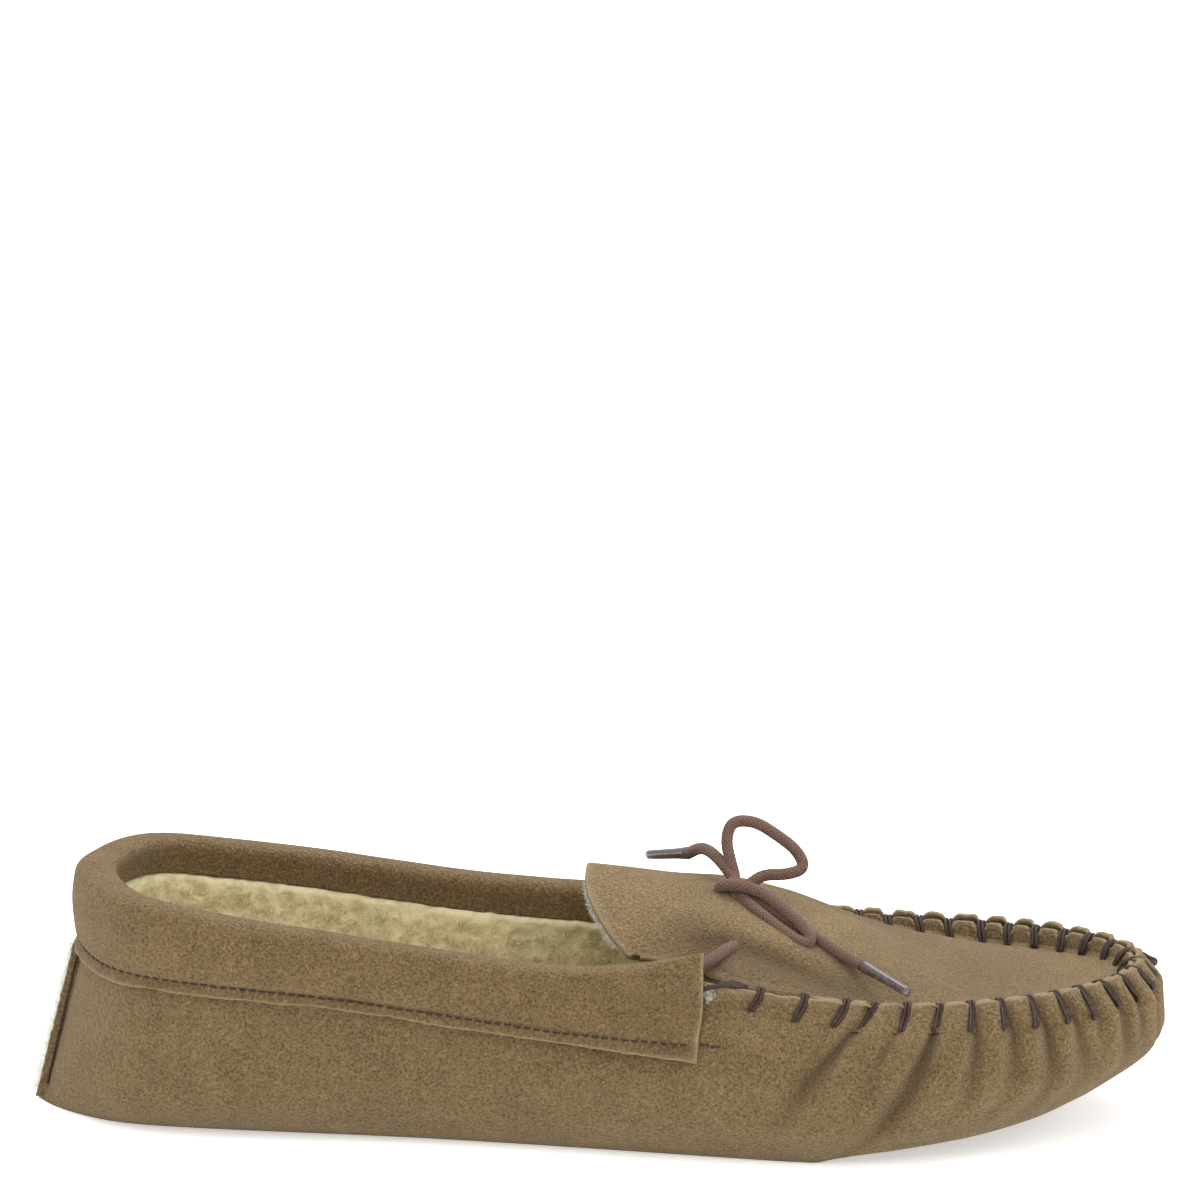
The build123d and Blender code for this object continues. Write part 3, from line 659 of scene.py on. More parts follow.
# Painted shade: the apron is darkened on its sloping sides, in the creases' valleys and in its hollow.
ax, ay = apron_points[:, :, 0], apron_points[:, :, 1]
side_shade = smooth(9, 17, np.abs(ay)) * smooth(6, 26, ax) * smooth(92, 60, ax)
note(apron, "fold", np.clip(0.55 * side_shade - crease(ax, ay) / 2, -1, 1))
close_gaps(apron)
thicken(apron, APRON_THICKNESS, -1)
print("apron:", len(apron.data.vertices), "points")

# %% [markdown]
# ## The collar
# The collar is a strip folded over the rim. Across, it goes from its raw lower edge up the
# outside, over a soft roll and down inside on to the fleece. Along, it runs from the near
# front end round the heel to the far one.

# %% Collar
NEAR_SHARE = float(at_arc(0.0))
FAR_SHARE = float(at_arc(RUN)) - 1.0
COLLAR_COLS = 620
collar_at = np.linspace(FAR_SHARE, NEAR_SHARE, COLLAR_COLS) % 1.0
collar_x, collar_y = outline(54.0, collar_at).T
rim = rim_at(collar_x, collar_y)
COLLAR_OUT, HEEL_LEAN = 2.0, 2.2
heel_lean = HEEL_LEAN * smooth(-98, -130, collar_x)
low = line(EDGE, collar_x)
collar_run = run_lengths(outline(54.0, collar_at))
end_share = smooth(0, 22, collar_run) * smooth(0, 22, collar_run[-1] - collar_run)
ROLL, ROLL_HALF, SEW_MARGIN, FLAP_SHOWN = 3.7, 4.3, 2.7, 9.4
OUTSIDE_ROWS = 44
roll_half = ROLL_HALF * (0.35 + 0.65 * end_share)
rows = []
for share in np.linspace(0, 1, OUTSIDE_ROWS):
    z = low + (rim - ROLL - low) * share
    out = COLLAR_OUT + 0.35 * np.exp(-(share / 0.05) ** 2)
    out = out + 0.45 * np.sin(np.pi * np.clip((share - 0.2) / 0.8, 0, 1))
    out = out - 0.85 * np.exp(-((z - low - SEW_MARGIN) / 0.95) ** 2) + heel_lean * share ** 1.5
    rows.append(last(z, collar_at, -out))
for angle in np.linspace(0, math.pi, 25)[1:]:
    square = math.copysign(abs(math.cos(angle)) ** 0.8, math.cos(angle))
    inset = roll_half * (1 - square) - COLLAR_OUT - heel_lean * (1 + square) / 2
    z = rim - ROLL + ROLL * math.sin(angle) ** 0.8
    rows.append(last(z, collar_at, inset))
flap_low = FLAP_SHOWN * (0.25 + 0.75 * end_share)
for share in np.linspace(0, 1, 12)[1:]:
    z = rim - ROLL - (flap_low - ROLL) * share
    inset = 2 * roll_half - COLLAR_OUT - 0.6 * math.sin(share * math.pi / 2)
    rows.append(last(z, collar_at, inset))
collar_points = np.stack(rows)
print("collar rows:", len(rows))

# %% [markdown]
# The strip is given soft dents, a torn lower edge and notes for the material: where the raw
# edge is, and painted shade where the leather dips.

# %% Dents and raw edge
OUT_ROW = 6
way = unit(collar_points[OUT_ROW] - last(collar_points[OUT_ROW][:, 2], collar_at, 1.0))
strain = np.stack([soft_noise(r * np.array([1, 1, 1.4]), 30.0, 21) for r in collar_points])
strain += 0.35 * np.stack([soft_noise(r, 11.0, 22) for r in collar_points])
collar_points = collar_points + way[None] * (0.5 * strain)[:, :, None]
ragged = 0.35 * soft_noise(collar_points[0], 1.6, 8) + 0.5 * soft_noise(collar_points[0], 9.0, 12)
collar_points[0, :, 2] += ragged
collar_points[1, :, 2] += ragged * 0.6
collar = grid("collar", collar_points, flip=True)
fringe = np.zeros(collar_points.shape[:2])
fringe[0], fringe[1] = 1.0, 0.3
fringe[:, 0], fringe[:, -1] = 1.0, 1.0
fringe[:, 1], fringe[:, -2] = 0.4, 0.4
note(collar, "edge", fringe)
# Painted shade: the collar is darkened in colour where its dents push in.
note(collar, "fold", -0.4 * strain)
close_gaps(collar)
thicken(collar, COLLAR_THICKNESS, -1)
print("collar:", len(collar.data.vertices), "points")


# %% [markdown]
# ## The fleece
# The lining is a sock of curly wool. Its surface is raised in small tufts, and short curled
# fibres stand on the part that shows.

# %% Fleece sock
SOCK_COLS = 620
sock_at = np.linspace(0, 1, SOCK_COLS, endpoint=False)
sock_x, sock_y = outline(RIDGE_HEIGHT, sock_at, 5.0).T
sock_rim = rim_at(sock_x, sock_y)
FLOOR, SOCK_INSET, UNDER_FLAP = 10.4, 6.8, 3.4
ROUND_FROM, ROUND_HEIGHT = 0.72, 6.0
ahead = np.interp(sock_x, [2, 30, 60], [44.0, 40.0, 32.0])
sock_top = ahead + (sock_rim - 6.5 - ahead) * smooth(14, -6, sock_x)
rows = []
for share in np.linspace(0, 1, 58):
    z = sock_top * (1 - share) + FLOOR * share
    turn = max(share - ROUND_FROM, 0.0) / (1 - ROUND_FROM)
    low_round = ROUND_HEIGHT * (1 - math.sqrt(max(1 - turn ** 2, 0.0)))
    behind_flap = smooth(-10.6, -8.4, z - sock_rim) * (sock_x < 6)
    rows.append(last(z, sock_at, SOCK_INSET + low_round - UNDER_FLAP * behind_flap))
floor_edge = rows[-1]
for share in np.linspace(0.97, 0.0, 34):
    spine_x = spine_places(floor_edge[:, 0], share, -98.0, 66.0)
    spine = np.column_stack([spine_x, drift(spine_x), np.full(SOCK_COLS, FLOOR)])
    rows.append(spine + (floor_edge - spine) * share)
sock_points = np.stack(rows)
print("sock rows:", len(rows))

# %% [markdown]
# The wool clumps into tufts. Each point moves along its own normal, which is turned to face
# the inside of the shoe.

# %% Tufts
normal = np.cross(np.roll(sock_points, -1, axis=1) - sock_points,
                  np.gradient(sock_points, axis=0))
normal /= np.linalg.norm(normal, axis=2)[:, :, None] + 1e-9
middle = np.array([-20.0, 0.0, 34.0])
normal *= np.sign(((middle - sock_points) * normal).sum(axis=2))[:, :, None]
tufts = 1.5 * (0.5 - np.abs(soft_noise(sock_points, 6.0, 31)) * 1.9)
tufts += 0.8 * (0.5 - np.abs(soft_noise(sock_points, 3.0, 32)) * 1.9)
tufts += 1.1 * soft_noise(sock_points, 17.0, 33)
tufts *= np.where(sock_points[:, :, 0] > 20, 0.2, 1.0) * 0.55
sock_points = sock_points + normal * (tufts * 0.75)[:, :, None]
sock = grid("fleece_sock", sock_points, close=True, flip=True)
# Painted shade: the tufts' height is stored so that the wool is painted darker between the tufts.
note(sock, "fold", np.clip(tufts / 1.6, -1, 1))
close_gaps(sock)

# %% [markdown]
# Curled fibres are ribbons of four faces. They get narrower and turn as they rise.

# %% Fibres of the pile
def fibres(name, roots, ways, length, width, curl):
    """Short curled ribbons from roots along ways, as one mesh."""
    count = len(roots)
    side = np.cross(ways, rng.normal(size=(count, 3)))
    side /= np.linalg.norm(side, axis=1)[:, None] + 1e-9
    turn = np.cross(ways, side)
    long_ = length * rng.uniform(0.6, 1.25, count)[:, None]
    rings_ = []
    for k in range(5):
        t = k / 4
        angle = t * curl * rng.uniform(0.7, 1.3, count)[:, None]
        place = roots + ways * long_ * t * 0.75 + side * long_ * 0.32 * np.sin(angle)
        place = place + turn * long_ * 0.26 * (1 - np.cos(angle))
        half = turn * width * (0.5 - 0.32 * t)
        rings_.append(np.stack([place - half, place + half], axis=1))
    verts = np.stack(rings_, axis=1).reshape(-1, 3)
    base = np.arange(count)[:, None] * 10
    faces = []
    for k in range(4):
        a = base + 2 * k
        faces.append(np.hstack([a, a + 1, a + 3, a + 2]))
    mesh = bpy.data.meshes.new(name)
    mesh.from_pydata((verts * MM).tolist(), [], np.concatenate(faces).tolist())
    mesh.shade_smooth()
    obj = bpy.data.objects.new(name, mesh)
    bpy.context.collection.objects.link(obj)
    return obj


shown = (sock_points[:, :, 0] < 12) & (sock_points[:, :, 2] < sock_rim[None] - 12.5)
flat_points, flat_normals = sock_points[shown], normal[shown]
PILE_FIBRES = 19000
pick = rng.integers(0, len(flat_points), PILE_FIBRES)
roots = flat_points[pick] + rng.normal(0, 0.45, (len(pick), 3))
ways = flat_normals[pick] + rng.normal(0, 0.55, (len(pick), 3)) + np.array([0, 0, 0.25])
ways = unit(ways)
pile = fibres("fleece_pile", roots, ways, 2.0, 0.34, 3.6)

print("fibres in the pile:", len(roots))

# %% [markdown]
# A sheet of white wool lies under the apron and the tongue, and its fuzz shows at the throat.

# %% Lining under the apron and the tongue
LINING_HALF, THROAT_FIBRES = 24.2, 1500
rows = []
for share in np.linspace(-1, 1, 90):
    along = np.linspace(0, 1, 170)
    start = throat_x(share * LINING_HALF) + 0.9
    x = start + (104 - start) * along
    half = np.minimum(line(APRON_HALF, x) - 1.2, 29.5) * smooth(112, 84, x) ** 0.3
    half = LINING_HALF + (half - LINING_HALF) * smooth(0.0, 0.25, along)
    y = drift(x) + share * half
    z = vamp_z(x, y) + crease(x, y) - 1.6
    rows.append(np.column_stack([x, y, z]))
under = np.stack(rows)
under[:, :, 2] += 0.25 * soft_noise(under, 3.0, 41)
apron_lining = grid("apron_lining", under)
close_gaps(apron_lining)
thicken(apron_lining, LINING_THICKNESS, -1)
throat = under[4:-4, 0]
pick = rng.integers(0, len(throat), THROAT_FIBRES)
roots = throat[pick] + np.column_stack([rng.uniform(-0.6, 0.6, THROAT_FIBRES),
                                        rng.normal(0, 0.4, THROAT_FIBRES),
                                        rng.uniform(-1.4, 0.2, THROAT_FIBRES)])
ways = np.tile([-1.0, 0.0, 0.15], (THROAT_FIBRES, 1)) + rng.normal(0, 0.55, (THROAT_FIBRES, 3))
ways = unit(ways)
throat_fuzz = fibres("throat_fuzz", roots, ways, 1.3, 0.14, 3.0)
print("fibres at the throat:", len(roots))

# %% [markdown]
# ## Machine stitches
# A machine stitch is a short dark bar that dives into the leather at both ends. The rows
# follow the collar's raw edge and the tongue's free edge.

# %% Machine stitches
def row_of_stitches(name, path, normals, pitch, share, diameter):
    """Stitches along a path; each rests on the surface and sinks at its ends."""
    step_ = run_lengths(path)
    count = int(step_[-1] / pitch)
    runs = []
    for k in range(count):
        places = (np.array([0.0, 0.12, 0.5, 0.88, 1.0]) * share + (1 - share) / 2 + k) * pitch
        lift = np.array([-0.30, 0.10, 0.24, 0.10, -0.30])
        point = np.column_stack([np.interp(places, step_, path[:, i]) for i in range(3)])
        out = np.column_stack([np.interp(places, step_, normals[:, i]) for i in range(3)])
        runs.append(list(point + out * lift[:, None] + rng.normal(0, 0.04, (1, 3))))
    return thread(name, runs, diameter, 2)


sew = int(np.argmin(np.abs((collar_points[:OUTSIDE_ROWS, 300, 2]) - collar_points[0, 300, 2] - SEW_MARGIN)))
sew_path = collar_points[sew]
collar_thread = row_of_stitches("collar_stitches", sew_path, way, 2.5, 0.62, 0.5)
tail_runs = []
for sign in (-1, 1):
    for k in range(2):
        share_near = at_arc(np.array([0.8 + 2.6 * k, 2.6 + 2.6 * k]))
        if sign > 0:
            share_near = at_arc(RUN - np.array([0.8 + 2.6 * k, 2.6 + 2.6 * k]))
        z = sew_path[-1 if sign < 0 else 0, 2] - 0.3 * k
        ends = last(np.full(2, z), share_near, -0.2)
        sink = last(np.full(2, z), share_near, 0.5)
        tail_runs.append([sink[0], ends[0], ends.mean(axis=0), ends[1], sink[1]])
collar_tails = thread("collar_stitch_tails", tail_runs, 0.55, 2)

print("collar stitches:", len(collar_thread.data.splines))

# %% [markdown]
# The tongue's stitches follow its free edge, a little way in.

# %% Tongue stitches
TONGUE_SEW_HALF, TONGUE_SEW_MARGIN, TONGUE_PLACES = 24.5, 3.3, 160
tongue_y = np.linspace(-TONGUE_SEW_HALF, TONGUE_SEW_HALF, TONGUE_PLACES)
tongue_x = throat_x(tongue_y) + TONGUE_SEW_MARGIN
tongue_z = vamp_z(tongue_x, tongue_y) + crease(tongue_x, tongue_y)
tongue_z += 0.35 * soft_noise(np.column_stack([tongue_x, tongue_y, tongue_z]), 26.0, 11) + 0.1
tongue_path = np.column_stack([tongue_x, tongue_y, tongue_z])
rise = np.gradient(tongue_path[:, 2]) / np.gradient(tongue_y)
tongue_out = unit(np.column_stack([0 * rise, -rise, np.ones(TONGUE_PLACES)]))
tongue_thread = row_of_stitches("tongue_stitches", tongue_path, tongue_out, 2.8, 0.66, 0.55)
print("tongue stitches:", len(tongue_thread.data.splines))

# %% [markdown]
# ## Hand stitches round the toe
# Each whip stitch is two strands of waxed thread. They leave a hole below the ridge, climb
# over its raw edge and go down inside the turned-up edge of the apron.

# %% Whip stitches
def wall_place(arc_, depth, out):
    """A point on the wrap at a distance along the ridge and below it, lifted out."""
    share_ = np.array([at_arc(arc_)])
    x = outline(RIDGE_HEIGHT, share_)[0, 0]
    z = float(ridge_z(x)) - depth
    push = gathers(np.array([arc_]), np.array([max(depth, 0.0)]))[0]
    return last(np.array([z]), share_, -(push + out))[0]


def inside_place(share_, inset, z):
    """A point at height z, inside the ridge's outline by inset."""
    x, y = outline(RIDGE_HEIGHT, share_, inset)[0]
    return np.array([x, y, z])


STRAND_GAP, LEAN, LEAN_RUN = 1.05, 2.9, 60.0
whip_runs = []
for arc_ in STITCH_ARC:
    slant = -LEAN * np.clip((RUN / 2 - arc_) / LEAN_RUN, -1, 1)
    slant += 0.5 * rng.normal()
    reach = 4.9 + 0.36 * rng.normal()
    drop = 4.2 + 0.5 * rng.normal()
    for strand in (-0.5, 0.5):
        shift = strand * STRAND_GAP
        run = [wall_place(arc_ + slant + shift * 0.4, reach - 0.2, -1.5),
               wall_place(arc_ + slant + shift * 0.7, reach - 0.35, 0.25),
               wall_place(arc_ + slant * 0.55 + shift, reach * 0.55, 0.60),
               wall_place(arc_ + slant * 0.18 + shift, 0.9, 0.55)]
        over = np.array([at_arc(arc_ - slant * 0.05 + shift)])
        push = gathers(np.array([arc_]), np.array([0.0]))[0]
        crest_z = float(ridge_z(outline(RIDGE_HEIGHT, over)[0, 0])) + TOP_SHARE * push
        run.append(inside_place(over, 0.9, crest_z + 0.75))
        run.append(inside_place(over, 2.9, crest_z + 0.45))
        down = np.array([at_arc(arc_ - slant * 0.35 + shift)])
        for inset, below in ((5.0, drop * 0.5), (5.2, drop), (3.4, drop + 0.3)):
            run.append(inside_place(down, inset, crest_z - below))
        whip_runs.append(run)
for sign, arc_ in ((-1, 2.0), (1, RUN - 2.0)):
    for k in range(4):
        lean = (k - 1.5) * 1.1 * -sign
        whip_runs.append([wall_place(arc_ - 2.5 * -sign + lean * 0.3, 3.2 - k * 0.8, 0.1),
                          wall_place(arc_ + lean, 1.2 - k * 0.5, 0.8),
                          wall_place(arc_ + 5.0 * -sign, -0.6 - 0.25 * k, -0.6 - 0.4 * k),
                          wall_place(arc_ + 9.0 * -sign, -0.3 - 0.2 * k, -1.7)])
whips = thread("whip_stitches", whip_runs, 1.0, 3)
print("strands of hand stitches:", len(whip_runs))


# %% [markdown]
# The backing wool escapes at the first stitches, where the seam isn't pulled tight.

# %% Loose wool at the seam
def wisp(arc_, depth, spread_, count):
    """Roots and directions of a tuft that sticks out of the wrap at a place along the ridge."""
    base = wall_place(arc_, depth, 0.0)
    outer = wall_place(arc_, depth, 1.0) - base
    roots_ = base + rng.normal(0, spread_, (count, 3)) * np.array([1, 0.3, 1])
    ways_ = outer + rng.normal(0, 0.8, (count, 3))
    return roots_, unit(ways_)


tufts_ = [wisp(1.0, 2.0, 0.7, 110), wisp(1.4, 3.6, 0.5, 50)]
seam_wool = fibres("seam_wool", np.concatenate([t[0] for t in tufts_]),
                   np.concatenate([t[1] for t in tufts_]), 1.5, 0.12, 4.0)
print("wool points at the seam:", len(seam_wool.data.vertices))

# %% [markdown]
# ## The lace
# The lace comes out of the collar's ends, goes through the apron and is tied in a bow. Each
# half is one curve through given points, and the braid is then worked on a tube round
# that curve: two sets of strands that wind opposite ways.

# %% Lace
COLLAR_RUN = [(24.0, -35.1, 49.8), (0.0, -34.6, 46.6), (-30.0, -34.3, 48.0), (-62.0, -34.7, 52.2),
              (-92.0, -33.6, 56.6), (-111.0, -29.4, 58.8), (-123.0, -19.0, 59.8), (-127.4, 0.0, 60.0),
              (-123.0, 19.0, 58.6), (-111.0, 29.4, 56.8), (-92.0, 33.6, 54.4), (-62.0, 34.9, 50.6),
              (-30.0, 34.5, 46.4), (0.0, 34.4, 44.9), (24.0, 34.7, 46.8)]
SIDE_NEAR = [(24.0, -35.1, 49.8), (29.0, -32.0, 50.6), (33.0, -26.5, 52.2), (35.6, -21.0, 51.6),
             (35.6, -14.5, 51.6), (34.8, -8.5, 54.2), (34.4, -5.0, 58.4)]
SIDE_FAR = [(24.0, 34.7, 46.8), (29.0, 32.0, 48.6), (33.0, 26.5, 52.2), (35.6, 21.0, 51.6),
            (35.6, 14.5, 51.6), (34.8, 8.5, 54.2), (34.4, 4.0, 58.4)]
LOOP_UP = [(34.0, 1.2, 62.0), (32.4, 4.4, 66.0), (31.2, 7.4, 70.2), (32.6, 9.8, 74.4),
           (38.4, 10.4, 74.2), (43.4, 9.6, 71.4), (49.2, 8.0, 67.6), (51.6, 5.4, 63.6),
           (47.2, 3.4, 62.4), (41.0, 1.6, 63.0), (37.4, -0.4, 60.6)]
END_FAR = [(33.4, 1.0, 62.2), (30.2, 5.0, 65.0), (26.8, 10.0, 66.4), (23.6, 16.4, 64.8),
           (21.2, 22.2, 61.4)]
LOOP_NEAR = [(33.4, 1.6, 58.6), (30.4, -1.4, 59.6), (30.2, -4.6, 61.8), (34.2, -6.2, 62.9),
             (40.8, -6.2, 61.2), (47.4, -11.0, 57.9), (52.6, -14.9, 54.6), (54.6, -17.6, 51.7),
             (51.6, -18.2, 51.4), (45.6, -14.6, 54.4), (39.4, -10.0, 57.7), (35.4, -4.8, 59.4)]
END_NEAR = [(36.6, -3.4, 59.6), (42.0, -7.0, 57.4), (48.9, -11.6, 54.4), (56.0, -14.6, 51.4),
            (62.6, -18.4, 48.4), (67.6, -22.6, 47.2)]
AGLET_TIPS = {"near": (80.6, -37.6, 45.0), "far": (9.8, 35.6, 56.1)}


def lace_path(points):
    """The line of a lace: a NURBS curve through its control points, read back as points."""
    data = bpy.data.curves.new("lace_line", "CURVE")
    data.dimensions = "3D"
    data.resolution_u = 24
    line_ = data.splines.new("NURBS")
    line_.points.add(len(points) - 1)
    for point, place in zip(line_.points, points):
        point.co = (*(Vector(place) * MM), 1.0)
    line_.order_u = 3
    line_.use_endpoint_u = True
    obj = bpy.data.objects.new("lace_line", data)
    bpy.context.collection.objects.link(obj)
    bpy.context.view_layer.update()
    mesh = obj.to_mesh()
    path = np.array([tuple(v.co) for v in mesh.vertices]) / MM
    obj.to_mesh_clear()
    bpy.data.objects.remove(obj)
    step_ = run_lengths(path)
    keep = np.concatenate([[True], np.diff(step_) > 1e-4])
    return path[keep]


BRAID_PITCH, BRAID_AROUND = 2.4, 64


def braid(name, path, diameter, strands=16, every=0.12):
    """A braided round cord along a path, with a note of which strand lies on top, for painted shade."""
    step_ = run_lengths(path)
    total = step_[-1]
    s_ = np.linspace(0, total, int(total / every))
    line_ = np.column_stack([np.interp(s_, step_, path[:, i]) for i in range(3)])
    for _ in range(4):
        line_[1:-1] = 0.25 * line_[:-2] + 0.5 * line_[1:-1] + 0.25 * line_[2:]
    way_ = unit(np.gradient(line_, axis=0))
    side = np.cross(way_[0], (0.3, 0.2, 1.0))
    side /= np.linalg.norm(side)
    sides = [side]
    for w in way_[1:]:
        side = sides[-1] - w * np.dot(sides[-1], w)
        sides.append(side / np.linalg.norm(side))
    sides = np.array(sides)
    ups = np.cross(way_, sides)
    angle = np.linspace(0, 2 * math.pi, BRAID_AROUND, endpoint=False)
    a_, l_ = np.meshgrid(angle, s_)
    wind = 2 * math.pi * l_ / (BRAID_PITCH / 2)
    one = np.cos(strands / 2 * a_ + wind)
    two = np.cos(strands / 2 * a_ - wind)
    over = np.maximum(one, two)
    radius = diameter / 2 * (0.955 + 0.06 * over)
    ends = np.minimum(l_, total - l_)
    radius = radius * np.sqrt(np.clip(ends / 0.5, 0.02, 1))
    points = (line_[:, None] + sides[:, None] * (np.cos(a_) * radius)[:, :, None]
              + ups[:, None] * (np.sin(a_) * radius)[:, :, None])
    obj = grid(name, points, close=True, flip=True)
    # This note paints the braid: lighter where a strand lies on top, darker in the gaps.
    note(obj, "painted_braid_shade", over)
    return obj, line_, total


# %% [markdown]
# In the knot each half takes one more point before its loop and one after it.

# %% The two halves and the run in the collar
lace_a_path = lace_path(SIDE_NEAR + [(33.4, -1.8, 61.4)] + LOOP_UP + [(35.0, -1.6, 60.8)] + END_FAR)
lace_b_path = lace_path(SIDE_FAR + [(34.6, 2.4, 60.6)] + LOOP_NEAR + [(34.6, -1.4, 61.6)] + END_NEAR)
lace_a, line_a, length_a = braid("lace_from_near_side", lace_a_path, LACE)
lace_b, line_b, length_b = braid("lace_from_far_side", lace_b_path, LACE)
lace_c, line_c, length_c = braid("lace_in_collar", lace_path(COLLAR_RUN), LACE, 8, 1.0)
print("lace lengths, mm:", round(length_a), round(length_b), round(length_c))


# %% [markdown]
# Each end of the lace is held by an aglet, a sleeve of film.

# %% Aglets
AGLET_SIDES, AGLET_FLATNESS = 28, 0.86


def aglet(name, start, tip):
    """A sleeve crimped on a lace's end, a little flattened, with its rolled lip."""
    start, tip = Vector(start), Vector(tip)
    way_ = (tip - start).normalized()
    turn_ = way_.to_track_quat("Z", "X").to_matrix()
    rows_ = []
    stations = ((0.0, 1.50), (0.02, 1.62), (0.10, 1.60), (0.3, 1.42), (0.6, 1.34), (0.92, 1.30),
                (0.985, 1.22), (1.0, 0.9), (1.0, 0.02))
    for share, radius in stations:
        ring_ = []
        for k in range(AGLET_SIDES):
            angle = 2 * math.pi * k / AGLET_SIDES
            flat_radius = radius * AGLET_FLATNESS
            local = Vector((radius * math.cos(angle), flat_radius * math.sin(angle), 0))
            ring_.append(tuple(start + way_ * AGLET_LENGTH * share + turn_ @ local))
        rows_.append(ring_)
    return grid(name, np.array(rows_), close=True, flip=True)


aglet_near = aglet("aglet_near_end", END_NEAR[-1], AGLET_TIPS["near"])
aglet_far = aglet("aglet_far_end", END_FAR[-1], AGLET_TIPS["far"])
print("aglets:", aglet_near.name, aglet_far.name)


# %% [markdown]
# ## Materials
# A material is a small graph of nodes. These helpers add a node with its settings, join a
# height to the surface as bumps, and make a colour ramp.

# %% Helpers for materials
def new_material(name, finish):
    """A material with its nodes, links and shader; finish sets the shader's sockets."""
    material = bpy.data.materials.new(name)
    material.use_nodes = True
    shader = material.node_tree.nodes["Principled BSDF"]
    for socket, value in finish.items():
        shader.inputs[socket].default_value = value
    return material, material.node_tree.nodes, material.node_tree.links, shader


def add(nodes, kind, sockets, **settings):
    """A new node with its settings and the values of its input sockets."""
    node = nodes.new(kind)
    for key, value in settings.items():
        setattr(node, key, value)
    for socket, value in sockets.items():
        node.inputs[socket].default_value = value
    return node


def bumps(nodes, links, height, shader, strength, distance):
    """Joins a height to the shader's normal; distance is in metres."""
    bump = add(nodes, "ShaderNodeBump", {"Strength": strength, "Distance": distance})
    links.new(height, bump.inputs["Height"])
    links.new(bump.outputs["Normal"], shader.inputs["Normal"])


def noise_here(nodes, links, sockets):
    """Noise that is fixed to the object, so that it moves with it."""
    place = add(nodes, "ShaderNodeTexCoord", {})
    texture = add(nodes, "ShaderNodeTexNoise", sockets)
    links.new(place.outputs["Object"], texture.inputs["Vector"])
    return texture


def ramp(nodes, stops):
    """A colour ramp with a stop for each (position, colour)."""
    node = nodes.new("ShaderNodeValToRGB")
    first, final = node.color_ramp.elements
    first.position, first.color = stops[0][0], (*stops[0][1], 1)
    final.position, final.color = stops[-1][0], (*stops[-1][1], 1)
    for place, colour in stops[1:-1]:
        element = node.color_ramp.elements.new(place)
        element.color = (*colour, 1)
    return node


def tone_of(nodes, links, value, shader, stops):
    """Turns a value into the shader's base colour through a ramp."""
    tone = ramp(nodes, stops)
    links.new(value, tone.inputs["Fac"])
    links.new(tone.outputs["Color"], shader.inputs["Base Color"])


# %% [markdown]
# Suede is leather with its nap raised. It has no shine, it catches light at a glancing angle
# and its colour shifts in soft patches where the nap lies another way. One group of nodes
# makes the nap for every suede piece.

# %% Suede nap
FLECK_COLOUR = (0.50, 0.41, 0.27, 1)


def nap_group():
    """Colour and height of brushed suede, from object coordinates and two colours."""
    group = bpy.data.node_groups.new("Suede nap", "ShaderNodeTree")
    for name, way_in, kind in (("Vector", "INPUT", "Vector"), ("Dark", "INPUT", "Color"),
                               ("Light", "INPUT", "Color"), ("Color", "OUTPUT", "Color"),
                               ("Height", "OUTPUT", "Float")):
        group.interface.new_socket(name=name, in_out=way_in, socket_type="NodeSocket" + kind)
    nodes, links = group.nodes, group.links
    start = nodes.new("NodeGroupInput")
    end = nodes.new("NodeGroupOutput")
    patches = add(nodes, "ShaderNodeTexNoise", {"Scale": 95, "Detail": 6, "Roughness": 0.62})
    grain = add(nodes, "ShaderNodeTexNoise", {"Scale": 1500, "Detail": 5, "Roughness": 0.62})
    flecks = add(nodes, "ShaderNodeTexNoise", {"Scale": 1700, "Detail": 2})
    for texture in (patches, grain, flecks):
        links.new(start.outputs["Vector"], texture.inputs["Vector"])
    low = add(nodes, "ShaderNodeMapRange", {"From Min": 0.34, "From Max": 0.66})
    links.new(patches.outputs["Fac"], low.inputs["Value"])
    fine = add(nodes, "ShaderNodeMapRange", {"From Min": 0.38, "From Max": 0.62})
    links.new(grain.outputs["Fac"], fine.inputs["Value"])
    both = add(nodes, "ShaderNodeMix", {"Factor": 0.8}, data_type="FLOAT")
    links.new(low.outputs["Result"], both.inputs["A"])
    links.new(fine.outputs["Result"], both.inputs["B"])
    base = add(nodes, "ShaderNodeMix", {}, data_type="RGBA")
    links.new(both.outputs["Result"], base.inputs["Factor"])
    links.new(start.outputs["Dark"], base.inputs["A"])
    links.new(start.outputs["Light"], base.inputs["B"])
    spark = add(nodes, "ShaderNodeMapRange", {"From Min": 0.66, "From Max": 0.74, "To Max": 0.55})
    links.new(flecks.outputs["Fac"], spark.inputs["Value"])
    bright = add(nodes, "ShaderNodeMix", {"B": FLECK_COLOUR}, data_type="RGBA")
    links.new(spark.outputs["Result"], bright.inputs["Factor"])
    links.new(base.outputs["Result"], bright.inputs["A"])
    links.new(bright.outputs["Result"], end.inputs["Color"])
    links.new(fine.outputs["Result"], end.inputs["Height"])
    return group


NAP = nap_group()
TAN_DARK, TAN_LIGHT = (0.070, 0.043, 0.015, 1), (0.236, 0.158, 0.070, 1)
# The first colour here is painted shade for the suede's grooves, creases and dents; the second is its paler
# raw edge.
PAINTED_SHADE_COLOUR, RAW_COLOUR = (0.050, 0.030, 0.012, 1), (0.36, 0.27, 0.16, 1)
NAP_FINISH = {"Roughness": 0.93, "Specular IOR Level": 0.12, "Sheen Weight": 0.30,
              "Sheen Roughness": 0.55, "Sheen Tint": (0.85, 0.72, 0.52, 1)}


